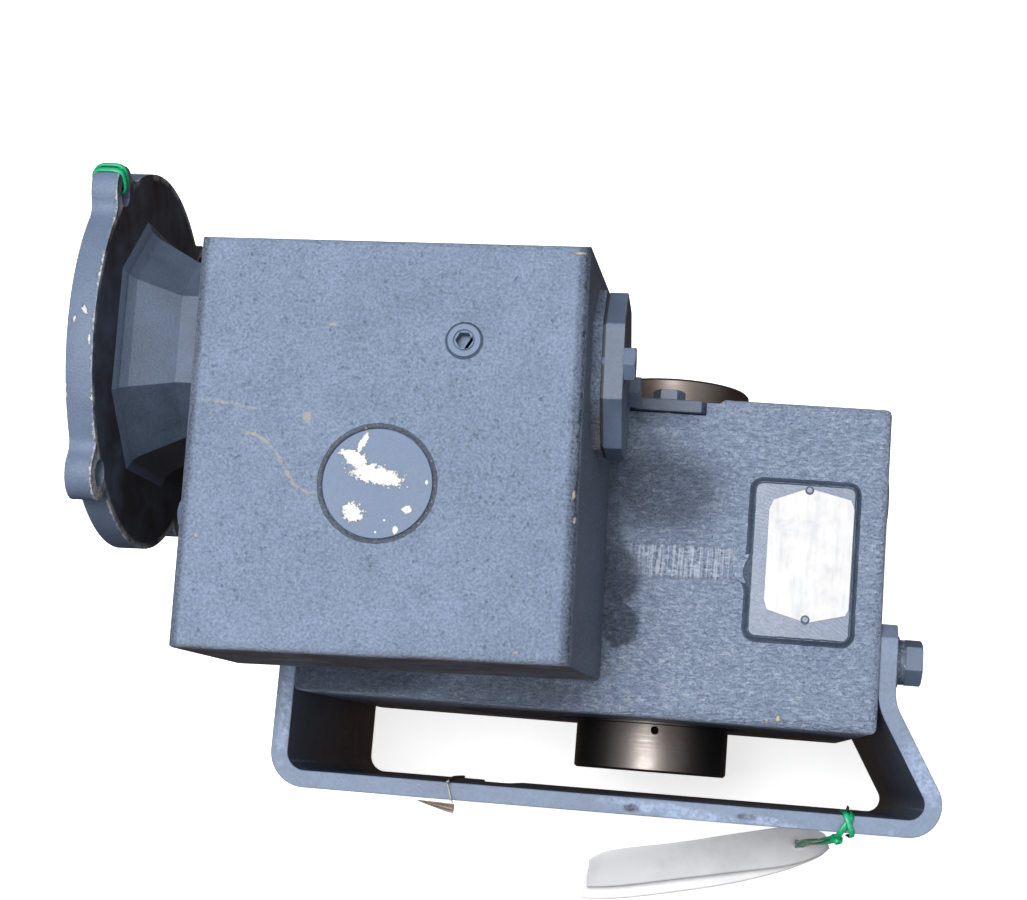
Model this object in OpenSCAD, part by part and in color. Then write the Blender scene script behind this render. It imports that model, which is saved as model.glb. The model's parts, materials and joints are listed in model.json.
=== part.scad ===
// Two-stage right-angle worm gearbox with a motor adapter, a hollow output shaft and a torque bracket.
// The output shaft runs along Y through the origin, the input shaft along X, and the unit lies on its back (-Z).

/* [Main housing] */
// Distance from the output axis to the left (-X) side
case_left = 207.5; // [180:0.5:240]
// Distance from the output axis to the right (+X) side
case_right = 131.5; // [125:0.5:160]
// Half of the housing's size along the output shaft
case_half_y = 94.6; // [80:0.1:120]
// Half of the housing's depth
case_half_z = 146; // [130:1:170]
// Wall thickness
case_wall = 12; // [8:1:16]
// Rounding of the long outer edges
case_round = 5; // [2:1:12]

/* [Primary housing] */
// Half of the primary housing's width
box_half_x = 101.5; // [90:0.5:110]
// From the intermediate axis to the lower (-Y) side
box_low_y = 89.3; // [80:0.1:100]
// From the intermediate axis to the upper (+Y) side
box_high_y = 130.4; // [110:0.1:140]
// Height of the primary housing above the main housing
box_height = 140.8; // [120:0.1:160]
// Turn of the whole primary stage about the intermediate shaft, in degrees
primary_swing = 1.6; // [-3:0.1:3]

/* [Gears] */
// Centre distance of the primary pair
centre_1 = 75; // [75:1:75]
// Centre distance of the secondary pair
centre_2 = 142; // [142:1:142]
// Axial module of the primary pair
module_1 = 3.25; // [3:0.25:3.5]
// Axial module of the secondary pair
module_2 = 5.5; // [5:0.5:6]
// Threads on the primary worm
starts_1 = 4; // [4:1:4]
// Threads on the secondary worm
starts_2 = 3; // [3:1:3]
// Teeth on the primary wheel
teeth_1 = 32; // [32:1:32]
// Teeth on the secondary wheel
teeth_2 = 36; // [36:1:36]
// Share of each pitch that a tooth or a thread takes
tooth_share = 0.35; // [0.3:0.01:0.4]

/* [Output shaft] */
// Overall length of the hollow shaft
output_len = 251; // [240:1:280]
// Outside radius where it shows
output_nose_r = 49; // [47:0.5:49.5]
// Outside radius in the bearings
output_seat_r = 50; // [50:1:50]
// Bore radius
output_bore_r = 35; // [30:0.5:38]

/* [Motor adapter] */
// Bolt circle diameter of the motor flange
flange_pcd = 215; // [165:1:265]
// Radius of the round part of the flange
flange_r = 106; // [100:0.5:120]
// Flange thickness
flange_t = 14.2; // [10:0.1:20]
// Radius of the motor's centring spigot
pilot_r = 90; // [80:1:100]
// Radius of the flange bolt holes
flange_hole_r = 7.25; // [5:0.25:9]
// Radius of the motor shaft socket
socket_r = 14; // [12:0.5:16]

/* [Torque bracket] */
// Plate thickness
plate_t = 10; // [6:0.5:14]
// Plate width
plate_w = 280; // [200:1:290]
// Distance from the output axis to the bracket's inner face
bracket_drop = 140.4; // [120:0.1:160]
// Height of the legs' upper ends
leg_top = -30; // [-60:1:0]

/* [View] */
// Part to draw

/* [Hidden] */
$fn = 64;
paint = [0.40, 0.47, 0.57];
paint_dark = [0.33, 0.39, 0.48];
steel = [0.72, 0.72, 0.71];
dark_steel = [0.45, 0.45, 0.46];
bronze = [0.72, 0.53, 0.28];
rubber = [0.10, 0.10, 0.11];
axis_x = -centre_2;
axis_y = 10.2;
box_z0 = case_half_z + 0.7;
box_z1 = case_half_z + box_height;
input_z = 214.7;
oct_a = 43.5;
oct_h = 20.7;
wheel_1_r = module_1 * teeth_1 / 2;
worm_1_r = centre_1 - wheel_1_r;
wheel_2_r = module_2 * teeth_2 / 2;
worm_2_r = centre_2 - wheel_2_r;
lead_1 = PI * module_1 * starts_1;
lead_2 = PI * module_2 * starts_2;
slope_1 = atan(lead_1 / (2 * PI * worm_1_r));
slope_2 = atan(lead_2 / (2 * PI * worm_2_r));
flange_u0 = -160.1;
flange_u1 = flange_u0 + flange_t;
neck_u = -118;
neck_a = 50;
neck_h = 24;
neck_v = 3;
pad_u = -104.6;
cover_u = 112.7;
cover_y0 = 87.4;
gasket_y0 = 86.8;
lug_z = 123.5;

// Puts its children in the primary stage's own frame: the intermediate axis at x = 0, y = 0
module swing() {
    translate([axis_x, axis_y, 0])
        rotate([0, 0, primary_swing])
            children();
}

// Extrudes a profile drawn in (Y, Z) along X
module along_x(x0, x1) {
    translate([x0, 0, 0])
        rotate([90, 0, 90])
            linear_extrude(height = x1 - x0)
                children();
}

// Extrudes a profile drawn in (X, Z) along Y
module along_y(y0, y1) {
    translate([0, y1, 0])
        rotate([90, 0, 0])
            linear_extrude(height = y1 - y0)
                children();
}

module rod_x(r, x0, x1) {
    translate([x0, 0, 0])
        rotate([0, 90, 0])
            cylinder(r = r, h = x1 - x0);
}

module rod_y(r, y0, y1) {
    translate([0, y0, 0])
        rotate([-90, 0, 0])
            cylinder(r = r, h = y1 - y0);
}

module rod_z(r, z0, z1) {
    translate([0, 0, z0])
        cylinder(r = r, h = z1 - z0);
}

// Points of an arc about c, from angle a0 to a1
function arc(c, r, a0, a1, n) = [
    for (i = [0:n])
        [c[0] + r * cos(a0 + (a1 - a0) * i / n), c[1] + r * sin(a0 + (a1 - a0) * i / n)]
];

// Rectangle from (x0, y0) to (x1, y1) with rounded corners
module soft_rect(x0, x1, y0, y1, r) {
    union() {
        translate([x0 + r, y0])
            square([x1 - x0 - 2 * r, y1 - y0]);
        translate([x0, y0 + r])
            square([x1 - x0, y1 - y0 - 2 * r]);
        for (x = [x0 + r, x1 - r]) {
            for (y = [y0 + r, y1 - r]) {
                translate([x, y])
                    circle(r = r);
            }
        }
    }
}

// Cast block with rounded corners (rc) along Z and softened edges (re) along X and Y
module cast_block(x0, x1, y0, y1, z0, z1, rc, re) {
    intersection() {
        translate([0, 0, z0])
            linear_extrude(height = z1 - z0)
                soft_rect(x0, x1, y0, y1, rc);
        along_x(x0 - 1, x1 + 1)
            soft_rect(y0, y1, z0, z1, re);
        along_y(y0 - 1, y1 + 1)
            soft_rect(x0, x1, z0, z1, re);
    }
}

module octagon(a, h) {
    polygon([[h, a], [a, h], [a, -h], [h, -a], [-h, -a], [-a, -h], [-a, h], [-h, a]]);
}

module oct_x(a, h, x0, x1) {
    translate([0, centre_1, input_z])
        along_x(x0, x1)
            octagon(a, h);
}

// Moves its children onto the input axis
module on_input() {
    translate([0, centre_1, input_z])
        children();
}

// Hexagon head with a chamfered crown, standing on z = 0, and a shank below it
module hex_bolt(d, af, head, len) {
    union() {
        intersection() {
            cylinder(r = af / 2 / cos(30), h = head, $fn = 6);
            translate([0, 0, -af + head * 0.9])
                cylinder(r1 = af / 2 + af * 1.6, r2 = af / 2 * 0.96 + head * 0.1, h = af + head * 0.1);
        }
        translate([0, 0, -len])
            cylinder(r = d / 2, h = len);
    }
}

// Socket head screw: head on z = 0, shank below
module socket_screw(d, head_r, head, key, len) {
    difference() {
        union() {
            cylinder(r = head_r, h = head);
            translate([0, 0, -len])
                cylinder(r = d / 2, h = len);
        }
        translate([0, 0, head * 0.45])
            cylinder(r = key / 2 / cos(30), h = head, $fn = 6);
    }
}

module outer_ring(bore, od, w) {
    wall = (od - bore) / 2;
    difference() {
        cylinder(r = od / 2, h = w);
        translate([0, 0, -1])
            cylinder(r = od / 2 - wall * 0.27, h = w + 2);
        translate([0, 0, w / 2])
            rotate_extrude()
                translate([(od + bore) / 4, 0])
                    circle(r = wall * 0.3 + 0.05);
    }
}

module inner_ring(bore, od, w) {
    wall = (od - bore) / 2;
    difference() {
        cylinder(r = bore / 2 + wall * 0.27, h = w);
        translate([0, 0, -1])
            cylinder(r = bore / 2, h = w + 2);
        translate([0, 0, w / 2])
            rotate_extrude()
                translate([(od + bore) / 4, 0])
                    circle(r = wall * 0.3 + 0.05);
    }
}

module ball_set(bore, od, w, n) {
    for (i = [0:n - 1]) {
        rotate([0, 0, (i + 0.5) * 360 / n])
            translate([(od + bore) / 4, 0, w / 2])
                sphere(r = (od - bore) / 2 * 0.3);
    }
}

// One thread of a worm's cross-section, as points from angle a0 on
function thread_points(a0, root, pitch, tip, w, lead) = [
    for (p = [
        [-1, root, w + (pitch - root) * tan(20)],
        [-1, pitch, w],
        [-1, tip, w - (tip - pitch) * tan(20)],
        [1, tip, w - (tip - pitch) * tan(20)],
        [1, pitch, w],
        [1, root, w + (pitch - root) * tan(20)]
    ])
        [p[1] * cos(a0 + p[0] * p[2] * 360 / lead), p[1] * sin(a0 + p[0] * p[2] * 360 / lead)]
];

function worm_outline(starts, root, pitch, tip, w, lead) = [
    for (k = [0:starts - 1])
        for (q = [0:6])
            q < 6
                ? thread_points(k * 360 / starts, root, pitch, tip, w, lead)[q]
                : [root * cos((k + 0.5) * 360 / starts), root * sin((k + 0.5) * 360 / starts)]
];

// Right-hand worm along Z, centred on z = 0, with a thread at angle a0 there
module worm(starts, m, pitch, lead, len, a0) {
    turn = 360 * len / lead;
    w = PI * m * tooth_share / 2;
    translate([0, 0, -len / 2])
        rotate([0, 0, a0 - turn / 2])
            linear_extrude(height = len, twist = -turn, slices = ceil(turn / 12))
                polygon(worm_outline(starts, pitch - m * 1.36, pitch, pitch + m, w, lead));
}

// Right-hand wheel rim along Z, centred on z = 0, with a tooth on the X axis
module wheel_rim(teeth, m, bore, width, slope) {
    pitch = m * teeth / 2;
    root = pitch - m * 1.3;
    w = PI * m * tooth_share / 2;
    foot = w + (pitch - root + 1) * tan(20);
    tip = w - m * tan(20);
    difference() {
        union() {
            translate([0, 0, -width / 2])
                cylinder(r = root, h = width);
            for (k = [0:teeth - 1]) {
                rotate([0, 0, k * 360 / teeth])
                    rotate([-slope, 0, 0])
                        translate([0, 0, -width / 2 + 1])
                            linear_extrude(height = width - 2)
                                polygon([[root - 1, -foot], [pitch + m, -tip], [pitch + m, tip], [root - 1, foot]]);
            }
        }
        translate([0, 0, -width / 2 - 1])
            cylinder(r = bore, h = width + 2);
    }
}

// ---- primary housing ----
// Section across the primary housing, with a drafted right-hand side
module box_section() {
    draft = 3;
    r = 5;
    lean = tan(draft) * (box_z1 - r - box_z0);
    polygon(concat(
        [[-box_half_x - 2.2, box_z0], [box_half_x + 10.3, box_z0]],
        arc([box_half_x + 10.3 - lean - r / cos(draft), box_z1 - r], r, draft, 90, 8),
        arc([r - box_half_x - 2.2, box_z1 - r], r, 90, 180, 8)
    ));
}

module box_block() {
    intersection() {
        translate([0, 0, box_z0])
            linear_extrude(height = box_height - 0.7)
                soft_rect(-box_half_x - 2.2, box_half_x + 10.3, -box_low_y, box_high_y, 3);
        along_x(-box_half_x - 3, box_half_x + 11)
            union() {
                soft_rect(-box_low_y, box_high_y, box_z0, box_z1, 4.5);
                translate([-box_low_y, box_z0])
                    square([box_low_y + box_high_y, 20]);
            }
        along_y(-box_low_y - 1, box_high_y + 1)
            box_section();
    }
}

module primary_housing() {
    color(paint)
        swing()
            difference() {
                union() {
                    difference() {
                        box_block();
                        translate([0, 0, box_z0 + 12])
                            linear_extrude(height = box_z1 - box_z0 - 22)
                                soft_rect(-92.5, 92.5, -79.5, 119, 5);
                    }
                    oct_x(oct_a + 1, oct_h + 0.5, box_half_x - 1, 111.2);
                    translate([0, neck_v, 0])
                        oct_x(neck_a, neck_h, pad_u, -box_half_x + 1);
                    on_input()
                        rod_x(46, -box_half_x + 1, -76);
                    on_input()
                        rod_x(40, 84, box_half_x - 1);
                    rod_z(40, 250, box_z1 - 5);
                }
                rod_z(58, box_z0 - 1, box_z0 + 13);
                rod_z(31, 249, box_z1 + 1);
                on_input()
                    rod_x(37.5, -110, -75);
                on_input()
                    rod_x(31, 83, 113);
                on_input()
                    neck_screw_holes(2.5, -pad_u - 16, -pad_u + 1);
                on_input()
                    for (s = [-1, 1]) {
                        translate([0, 0, s * 37.5])
                            rod_x(5, 92, 112);
                    }
                translate([41, 76.8, box_z1 - 12])
                    cylinder(r = 6.5, h = 14);
                translate([0, -16, 255])
                    rod_x(6, -box_half_x - 3, -box_half_x + 12);
                for (p = interstage_points) {
                    translate([p[0], p[1], box_z0 - 1])
                        cylinder(r = 5, h = 11.3);
                }
            }
}

interstage_points = [[-38, 55], [-38, -55], [82, 55], [82, -55]];

// Four axial holes at the corners of the octagonal neck, from u = -b to u = -a
module neck_screw_holes(r, a, b) {
    for (k = [0:3]) {
        rotate([25.5 + k * 90, 0, 0])
            translate([0, 42.5, 0])
                rod_x(r, -b, -a);
    }
}

module sealing_cap() {
    color(paint)
        swing()
            difference() {
                rod_z(31, 277, box_z1 - 0.4);
                translate([0, 0, box_z1 - 2.2])
                    difference() {
                        cylinder(r = 32, h = 4);
                        translate([0, 0, -1])
                            cylinder(r = 28.8, h = 6);
                    }
                rod_z(27, 276, 282);
            }
}

module lower_sealing_cap() {
    color(paint)
        swing()
            difference() {
                rod_z(40, -145.5, -136);
                rod_z(36, -142, -135);
            }
}

module oil_filler_plug() {
    color(paint_dark)
        swing()
            translate([41, 76.8, box_z1])
                difference() {
                    union() {
                        cylinder(r = 8.7, h = 1.6);
                        translate([0, 0, -11])
                            cylinder(r = 6.5, h = 11);
                    }
                    translate([0, 0, 0.2])
                        difference() {
                            cylinder(r = 5.7, h = 3);
                            translate([0, 0, -1])
                                cylinder(r = 5.1, h = 5);
                        }
                    translate([0, 0, -6])
                        cylinder(r = 4 / cos(30), h = 9, $fn = 6);
                }
}

module side_level_plug() {
    color(paint_dark)
        swing()
            translate([-box_half_x - 2.2, -16, 255])
                rotate([0, -90, 0])
                    union() {
                        cylinder(r = 9, h = 1.6);
                        translate([0, 0, 1.6])
                            hex_bolt(12, 13, 6, 13);
                    }
}

// ---- motor adapter ----
module lobe_profile(ring, at, lobe, fillet) {
    dc = at;
    da = ring + fillet;
    db = lobe + fillet;
    t = acos((dc * dc + da * da - db * db) / (2 * dc * da));
    union() {
        translate([at, 0])
            circle(r = lobe);
        for (s = [-1, 1]) {
            difference() {
                polygon([[ring - 12, 0], [at, 0], [da * cos(t), s * da * sin(t)], [(ring - 12) * cos(t), s * (ring - 12) * sin(t)]]);
                translate([da * cos(t), s * da * sin(t)])
                    circle(r = fillet);
            }
        }
    }
}

// Octagonal frustum along X, from half-width a0 at x0 to a1 at x1
module flare(x0, a0, x1, a1) {
    hull() {
        along_x(x0 - 0.05, x0 + 0.05)
            octagon(a0, a0 * neck_h / neck_a);
        along_x(x1 - 0.05, x1 + 0.05)
            octagon(a1, a1 * neck_h / neck_a);
    }
}

module motor_adapter() {
    color(paint)
        swing()
            on_input()
                difference() {
                    union() {
                        along_x(flange_u0, flange_u1)
                            union() {
                                circle(r = flange_r, $fn = 96);
                                for (k = [0:3]) {
                                    rotate(45 + 90 * k)
                                        lobe_profile(flange_r, flange_pcd / 2, 14.2, 9);
                                }
                            }
                        translate([0, neck_v, 0]) {
                            flare(neck_u, neck_a, flange_u1 + 6, 61.5);
                            flare(flange_u1 + 6, 61.5, flange_u1 + 2.2, 64.8);
                            flare(flange_u1 + 2.2, 64.8, flange_u1 - 0.2, 70);
                            along_x(neck_u, pad_u - 0.5)
                                octagon(neck_a, neck_h);
                        }
                        rod_x(37.45, pad_u - 1, -95.2);
                    }
                    rod_x(pilot_r, flange_u0 - 1, flange_u0 + 5);
                    rod_x(62, flange_u0 + 4, flange_u1);
                    translate([flange_u1 - 0.1, 0, 0])
                        rotate([0, 90, 0])
                            cylinder(r1 = 57, r2 = 39, h = -121 - flange_u1 + 0.1);
                    rod_x(31, -122, -108);
                    rod_x(24, -109, -107);
                    rod_x(34, -107.5, -94);
                    neck_screw_holes(2.75, -pad_u, 113.5);
                    neck_screw_holes(4.6, 113, 146);
                    for (k = [0:3]) {
                        rotate([45 + 90 * k, 0, 0])
                            translate([0, flange_pcd / 2, 0])
                                rod_x(flange_hole_r, flange_u0 - 1, flange_u1 + 1);
                    }
                }
}

module adapter_gasket() {
    color(rubber)
        swing()
            on_input()
                difference() {
                    translate([0, neck_v, 0])
                        along_x(pad_u - 0.5, pad_u)
                            octagon(neck_a - 0.5, neck_h - 0.2);
                    rod_x(37.5, pad_u - 2, pad_u + 2);
                    neck_screw_holes(2.75, -pad_u - 2, -pad_u + 2);
                }
}

module adapter_screws() {
    color(dark_steel)
        swing()
            on_input()
                for (k = [0:3]) {
                    rotate([25.5 + k * 90, 0, 0])
                        translate([-113, 42.5, 0])
                            rotate([0, -90, 0])
                                socket_screw(5, 4.25, 5, 4, 22);
                }
}

module input_oil_seal() {
    color(rubber)
        swing()
            on_input()
                difference() {
                    rod_x(31, -117, -109);
                    rod_x(22.55, -118, -108);
                    difference() {
                        rod_x(29, -118, -113);
                        rod_x(24.5, -119, -112);
                    }
                }
}

module input_bearing_outer_rings() {
    color(steel)
        swing()
            on_input() {
                translate([-95, 0, 0])
                    rotate([0, 90, 0])
                        outer_ring(45, 75, 16);
                translate([92, 0, 0])
                    rotate([0, 90, 0])
                        outer_ring(30, 62, 16);
            }
}

module input_bearing_inner_rings() {
    color(steel)
        swing()
            on_input() {
                translate([-95, 0, 0])
                    rotate([0, 90, 0])
                        inner_ring(45, 75, 16);
                translate([92, 0, 0])
                    rotate([0, 90, 0])
                        inner_ring(30, 62, 16);
            }
}

module input_bearing_balls() {
    color(steel)
        swing()
            on_input() {
                translate([-95, 0, 0])
                    rotate([0, 90, 0])
                        ball_set(45, 75, 16, 12);
                translate([92, 0, 0])
                    rotate([0, 90, 0])
                        ball_set(30, 62, 16, 9);
            }
}

module input_worm_shaft() {
    color(steel)
        swing()
            on_input()
                difference() {
                    union() {
                        rotate([90, 0, 90])
                            worm(starts_1, module_1, worm_1_r, lead_1, 64, 45);
                        rod_x(22.5, -154.5, -78);
                        rod_x(26, -79, -74);
                        rod_x(18, -75, -32);
                        rod_x(18, 32, 92);
                        rod_x(15, 91, 109);
                    }
                    rod_x(socket_r, -155.5, -100);
                    translate([-155.5, -4, 0])
                        cube([47, 8, socket_r + 3.3]);
                }
}

module input_end_cover() {
    color(paint)
        swing()
            on_input()
                difference() {
                    union() {
                        along_x(cover_u, 123)
                            octagon(oct_a, oct_h);
                        rod_x(30.95, 108.1, cover_u + 1);
                    }
                    rod_x(26, 107, 115);
                    for (s = [-1, 1]) {
                        translate([0, 0, s * 37.5])
                            rod_x(5, 107, 124);
                    }
                }
}

module input_cover_gasket() {
    color(rubber)
        swing()
            on_input()
                difference() {
                    along_x(111.2, cover_u)
                        octagon(oct_a - 1.5, oct_h - 0.6);
                    rod_x(31, 110, 114);
                    for (s = [-1, 1]) {
                        translate([0, 0, s * 37.5])
                            rod_x(5, 110, 114);
                    }
                }
}

module input_cover_bolts() {
    color(paint_dark)
        swing()
            on_input()
                for (s = [-1, 1]) {
                    translate([123, 0, s * 37.5])
                        rotate([0, 90, 0])
                            rotate([0, 0, 14])
                                hex_bolt(10, 17, 6.4, 30);
                }
}

// ---- main housing ----
module cover_points(r) {
    for (k = [1, 2, 3, 5, 6, 7]) {
        rotate([0, k * 45, 0])
            translate([0, 0, r])
                children();
    }
}

module both_ends() {
    children();
    mirror([0, 1, 0])
        children();
}

module secondary_housing() {
    color(paint)
        difference() {
            union() {
                difference() {
                    cast_block(-case_left, case_right, -case_half_y, case_half_y, -case_half_z, case_half_z, case_round, 6);
                    translate([0, 0, -case_half_z + case_wall])
                        linear_extrude(height = 2 * (case_half_z - case_wall))
                            soft_rect(-case_left + case_wall, case_right - case_wall, -78, 78, 8);
                }
                swing()
                    rod_z(55, 118, case_half_z - 5);
                swing()
                    rod_z(50, -case_half_z + 5, -112);
                for (z = [-110, 110]) {
                    translate([0, -50, z])
                        rod_x(16, case_right - 32, case_right - 5);
                    translate([0, -50, z])
                        rod_x(16, -case_left + 5, -case_left + 32);
                }
                translate([0, 0, case_half_z - 1])
                    linear_extrude(height = 3.5)
                        soft_rect(54.3, 112.9, -44, 46.3, 5);
                translate([53, -5.3, case_half_z - 1])
                    cylinder(r = 8.5, h = 2.8);
            }
            swing() {
                rod_z(45, 117, case_half_z + 1);
                rod_z(40, -case_half_z - 1, -111);
                for (p = interstage_points) {
                    translate([p[0], p[1], case_half_z - 20])
                        cylinder(r = 5.5, h = 25);
                }
            }
            both_ends() {
                rod_y(128.5, gasket_y0, case_half_y + 1);
                rod_y(106, 77, gasket_y0 + 1);
                cover_points(117)
                    rod_y(5, 77, 88);
            }
            translate([0, 0, 129])
                linear_extrude(height = case_half_z - 128)
                    polygon([[-15, 75.5], [15, 75.5], [35.5, 96], [-35.5, 96]]);
            for (s = [-1, 1]) {
                both_ends()
                    along_y(gasket_y0, case_half_y + 1)
                        polygon([[-27, s * 118], [27, s * 118], [21, s * 134.5], [-21, s * 134.5]]);
                both_ends()
                    translate([0, 0, s * lug_z])
                        rod_y(4.5, 72, case_half_y + 1);
            }
            for (z = [-110, 110]) {
                translate([0, -50, z])
                    rod_x(8, case_right - 26, case_right + 1);
                translate([0, -50, z])
                    rod_x(8, -case_left - 1, -case_left + 26);
            }
            for (z = [-100, 0, 100]) {
                translate([0, 45, z])
                    rod_x(9, case_right - 14, case_right + 1);
            }
            for (p = [[85.7, 42.6], [87.2, -32.4]]) {
                translate([p[0], p[1], case_half_z - 3])
                    cylinder(r = 1.4, h = 8);
            }
        }
}

module interstage_gasket() {
    color(rubber)
        difference() {
            intersection() {
                swing()
                    translate([0, 0, case_half_z])
                        linear_extrude(height = 0.7)
                            soft_rect(-box_half_x + 3, box_half_x - 3, -box_low_y + 3, box_high_y - 3, 5);
                translate([-case_left + 8, -case_half_y + 8, case_half_z - 1])
                    cube([case_left + 50, 2 * case_half_y - 26.8, 4]);
            }
            swing() {
                rod_z(58, case_half_z - 2, case_half_z + 3);
                for (p = interstage_points) {
                    translate([p[0], p[1], case_half_z - 2])
                        cylinder(r = 5.5, h = 5);
                }
            }
        }
}

module interstage_screws() {
    color(dark_steel)
        swing()
            for (p = interstage_points) {
                translate([p[0], p[1], case_half_z - case_wall])
                    rotate([180, 0, 0])
                        socket_screw(10, 8, 7, 8, 22);
            }
}

module interstage_seal() {
    color(rubber)
        swing()
            difference() {
                rod_z(45, 140.5, case_half_z + 0.5);
                rod_z(25.05, 140, case_half_z + 1);
            }
}

module intermediate_bearing_outer_rings() {
    color(steel)
        swing() {
            translate([0, 0, -132])
                outer_ring(40, 80, 18);
            translate([0, 0, 120])
                outer_ring(50, 90, 20);
            translate([0, 0, 252])
                outer_ring(30, 62, 16);
        }
}

module intermediate_bearing_inner_rings() {
    color(steel)
        swing() {
            translate([0, 0, -132])
                inner_ring(40, 80, 18);
            translate([0, 0, 120])
                inner_ring(50, 90, 20);
            translate([0, 0, 252])
                inner_ring(30, 62, 16);
        }
}

module intermediate_bearing_balls() {
    color(steel)
        swing() {
            translate([0, 0, -132])
                ball_set(40, 80, 18, 9);
            translate([0, 0, 120])
                ball_set(50, 90, 20, 10);
            translate([0, 0, 252])
                ball_set(30, 62, 16, 9);
        }
}

module intermediate_worm_shaft() {
    color(steel)
        translate([axis_x, axis_y, 0])
            difference() {
                union() {
                    worm(starts_2, module_2, worm_2_r, lead_2, 120, 60);
                    rod_z(20, -133, -113);
                    rod_z(26, -114, -60);
                    rod_z(29, 59, 120);
                    rod_z(25, 119, 196);
                    rod_z(22, 195, 234);
                    rod_z(15, 233, 270);
                }
                translate([17.5, -6, 199])
                    cube([6, 12, 32]);
            }
}

module primary_wheel_key() {
    color(dark_steel)
        translate([axis_x, axis_y, 0])
            translate([17.5, -6, 199])
                cube([8, 12, 32]);
}

module primary_wheel_hub() {
    color(dark_steel)
        translate([axis_x, axis_y, 0])
            difference() {
                union() {
                    rod_z(34, 196, 234);
                    rod_z(40, input_z - 12, input_z + 12);
                }
                rod_z(22, 195, 235);
                translate([0, -6, 195])
                    cube([25.5, 12, 41]);
            }
}

module primary_wheel_rim() {
    color(bronze)
        swing()
            translate([0, 0, input_z])
                wheel_rim(teeth_1, module_1, 40, 24, slope_1);
}

module intermediate_spacer() {
    color(dark_steel)
        translate([axis_x, axis_y, 0])
            difference() {
                rod_z(19, 234, 252);
                rod_z(15, 233, 253);
            }
}

// ---- output ----
module output_cover() {
    difference() {
        union() {
            rod_y(128, cover_y0, case_half_y);
            for (s = [-1, 1]) {
                along_y(cover_y0, case_half_y)
                    polygon([[-26, s * 118], [26, s * 118], [20, s * 134], [-20, s * 134]]);
            }
            rod_y(88, 54, cover_y0 + 1);
        }
        rod_y(75, 53, 82);
        rod_y(62.5, 81, case_half_y + 1);
        cover_points(117)
            rod_y(5.2, 86, case_half_y + 1);
        for (s = [-1, 1]) {
            translate([0, 0, s * lug_z])
                rod_y(5.2, 86, case_half_y + 1);
        }
    }
}

module output_cover_upper() {
    color(paint)
        output_cover();
}

module output_cover_lower() {
    color(paint)
        mirror([0, 1, 0])
            difference() {
                output_cover();
                all_cover_points()
                    translate([0, case_half_y, 0])
                        rotate([-90, 0, 0])
                            flush_head(8.6, 5);
            }
}

module all_cover_points() {
    cover_points(117)
        children();
    for (s = [-1, 1]) {
        translate([0, 0, s * lug_z])
            children();
    }
}

// Countersunk head below z = 0
module flush_head(r, h) {
    translate([0, 0, -h])
        cylinder(r1 = r - h, r2 = r, h = h + 0.01);
}

module output_cover_gaskets() {
    color(rubber)
        both_ends()
            difference() {
                rod_y(127, gasket_y0, cover_y0);
                rod_y(106, 86, 88);
                cover_points(117)
                    rod_y(5.2, 86, case_half_y + 1);
                translate([-30, 86, 119])
                    cube([60, 2, 20]);
                translate([-30, 86, -139])
                    cube([60, 2, 20]);
            }
}

module output_cover_bolts() {
    color(paint_dark) {
        cover_points(117)
            translate([0, case_half_y, 0])
                rotate([-90, 0, 0])
                    hex_bolt(9.9, 17, 6.4, 15.5);
        for (s = [-1, 1]) {
            translate([0, case_half_y, s * lug_z])
                rotate([-90, 0, 0])
                    hex_bolt(8.9, 17, 6.4, 20);
        }
    }
}

module output_cover_lower_screws() {
    color(paint_dark)
        mirror([0, 1, 0])
            all_cover_points()
                translate([0, case_half_y - 0.4, 0])
                    rotate([-90, 0, 0])
                        difference() {
                            union() {
                                flush_head(8.1, 4.6);
                                translate([0, 0, -15.5])
                                    cylinder(r = 4.4, h = 12);
                            }
                            translate([0, 0, -3])
                                cylinder(r = 2.5 / cos(30), h = 4, $fn = 6);
                        }
}

module output_oil_seals() {
    color(rubber)
        both_ends()
            difference() {
                rod_y(62.5, 83, 92.5);
                rod_y(50.05, 82, 94);
                difference() {
                    rod_y(60, 91, 94);
                    rod_y(53, 90, 95);
                }
            }
}

module output_bearing_outer_rings() {
    color(steel)
        both_ends()
            translate([0, 57, 0])
                rotate([-90, 0, 0])
                    outer_ring(100, 150, 24);
}

module output_bearing_inner_rings() {
    color(steel)
        both_ends()
            translate([0, 57, 0])
                rotate([-90, 0, 0])
                    inner_ring(100, 150, 24);
}

module output_bearing_balls() {
    color(steel)
        both_ends()
            translate([0, 57, 0])
                rotate([-90, 0, 0])
                    ball_set(100, 150, 24, 12);
}

module output_hollow_shaft() {
    e = output_len / 2;
    color(steel)
        difference() {
            rotate([-90, 0, 0])
                rotate_extrude()
                    polygon([
                        [output_bore_r, -e], [output_nose_r - 1.5, -e], [output_nose_r, -e + 1.5],
                        [output_nose_r, -96], [output_seat_r, -95.4], [output_seat_r, 95.4],
                        [output_nose_r, 96], [output_nose_r, e - 1.5], [output_nose_r - 1.5, e],
                        [output_bore_r, e]
                    ]);
            translate([-10, -e - 1, -output_bore_r - 4.9])
                cube([20, output_len + 2, 20]);
            translate([3, -99.5, 30])
                cylinder(r = 2.6, h = 25);
            translate([-11, -12, 43])
                cube([22, 44, 10]);
        }
}

module output_wheel_key() {
    color(dark_steel)
        translate([-11, -12, 43])
            cube([22, 44, 12]);
}

module output_wheel_hub() {
    color(dark_steel)
        difference() {
            rod_y(80, -12, 32);
            rod_y(50, -13, 33);
            translate([-11, -13, 40])
                cube([22, 46, 15]);
            for (k = [0:5]) {
                rotate([0, 30 + k * 60, 0])
                    translate([0, 0, 80])
                        rod_y(4, 20, 33);
            }
        }
}

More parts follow.
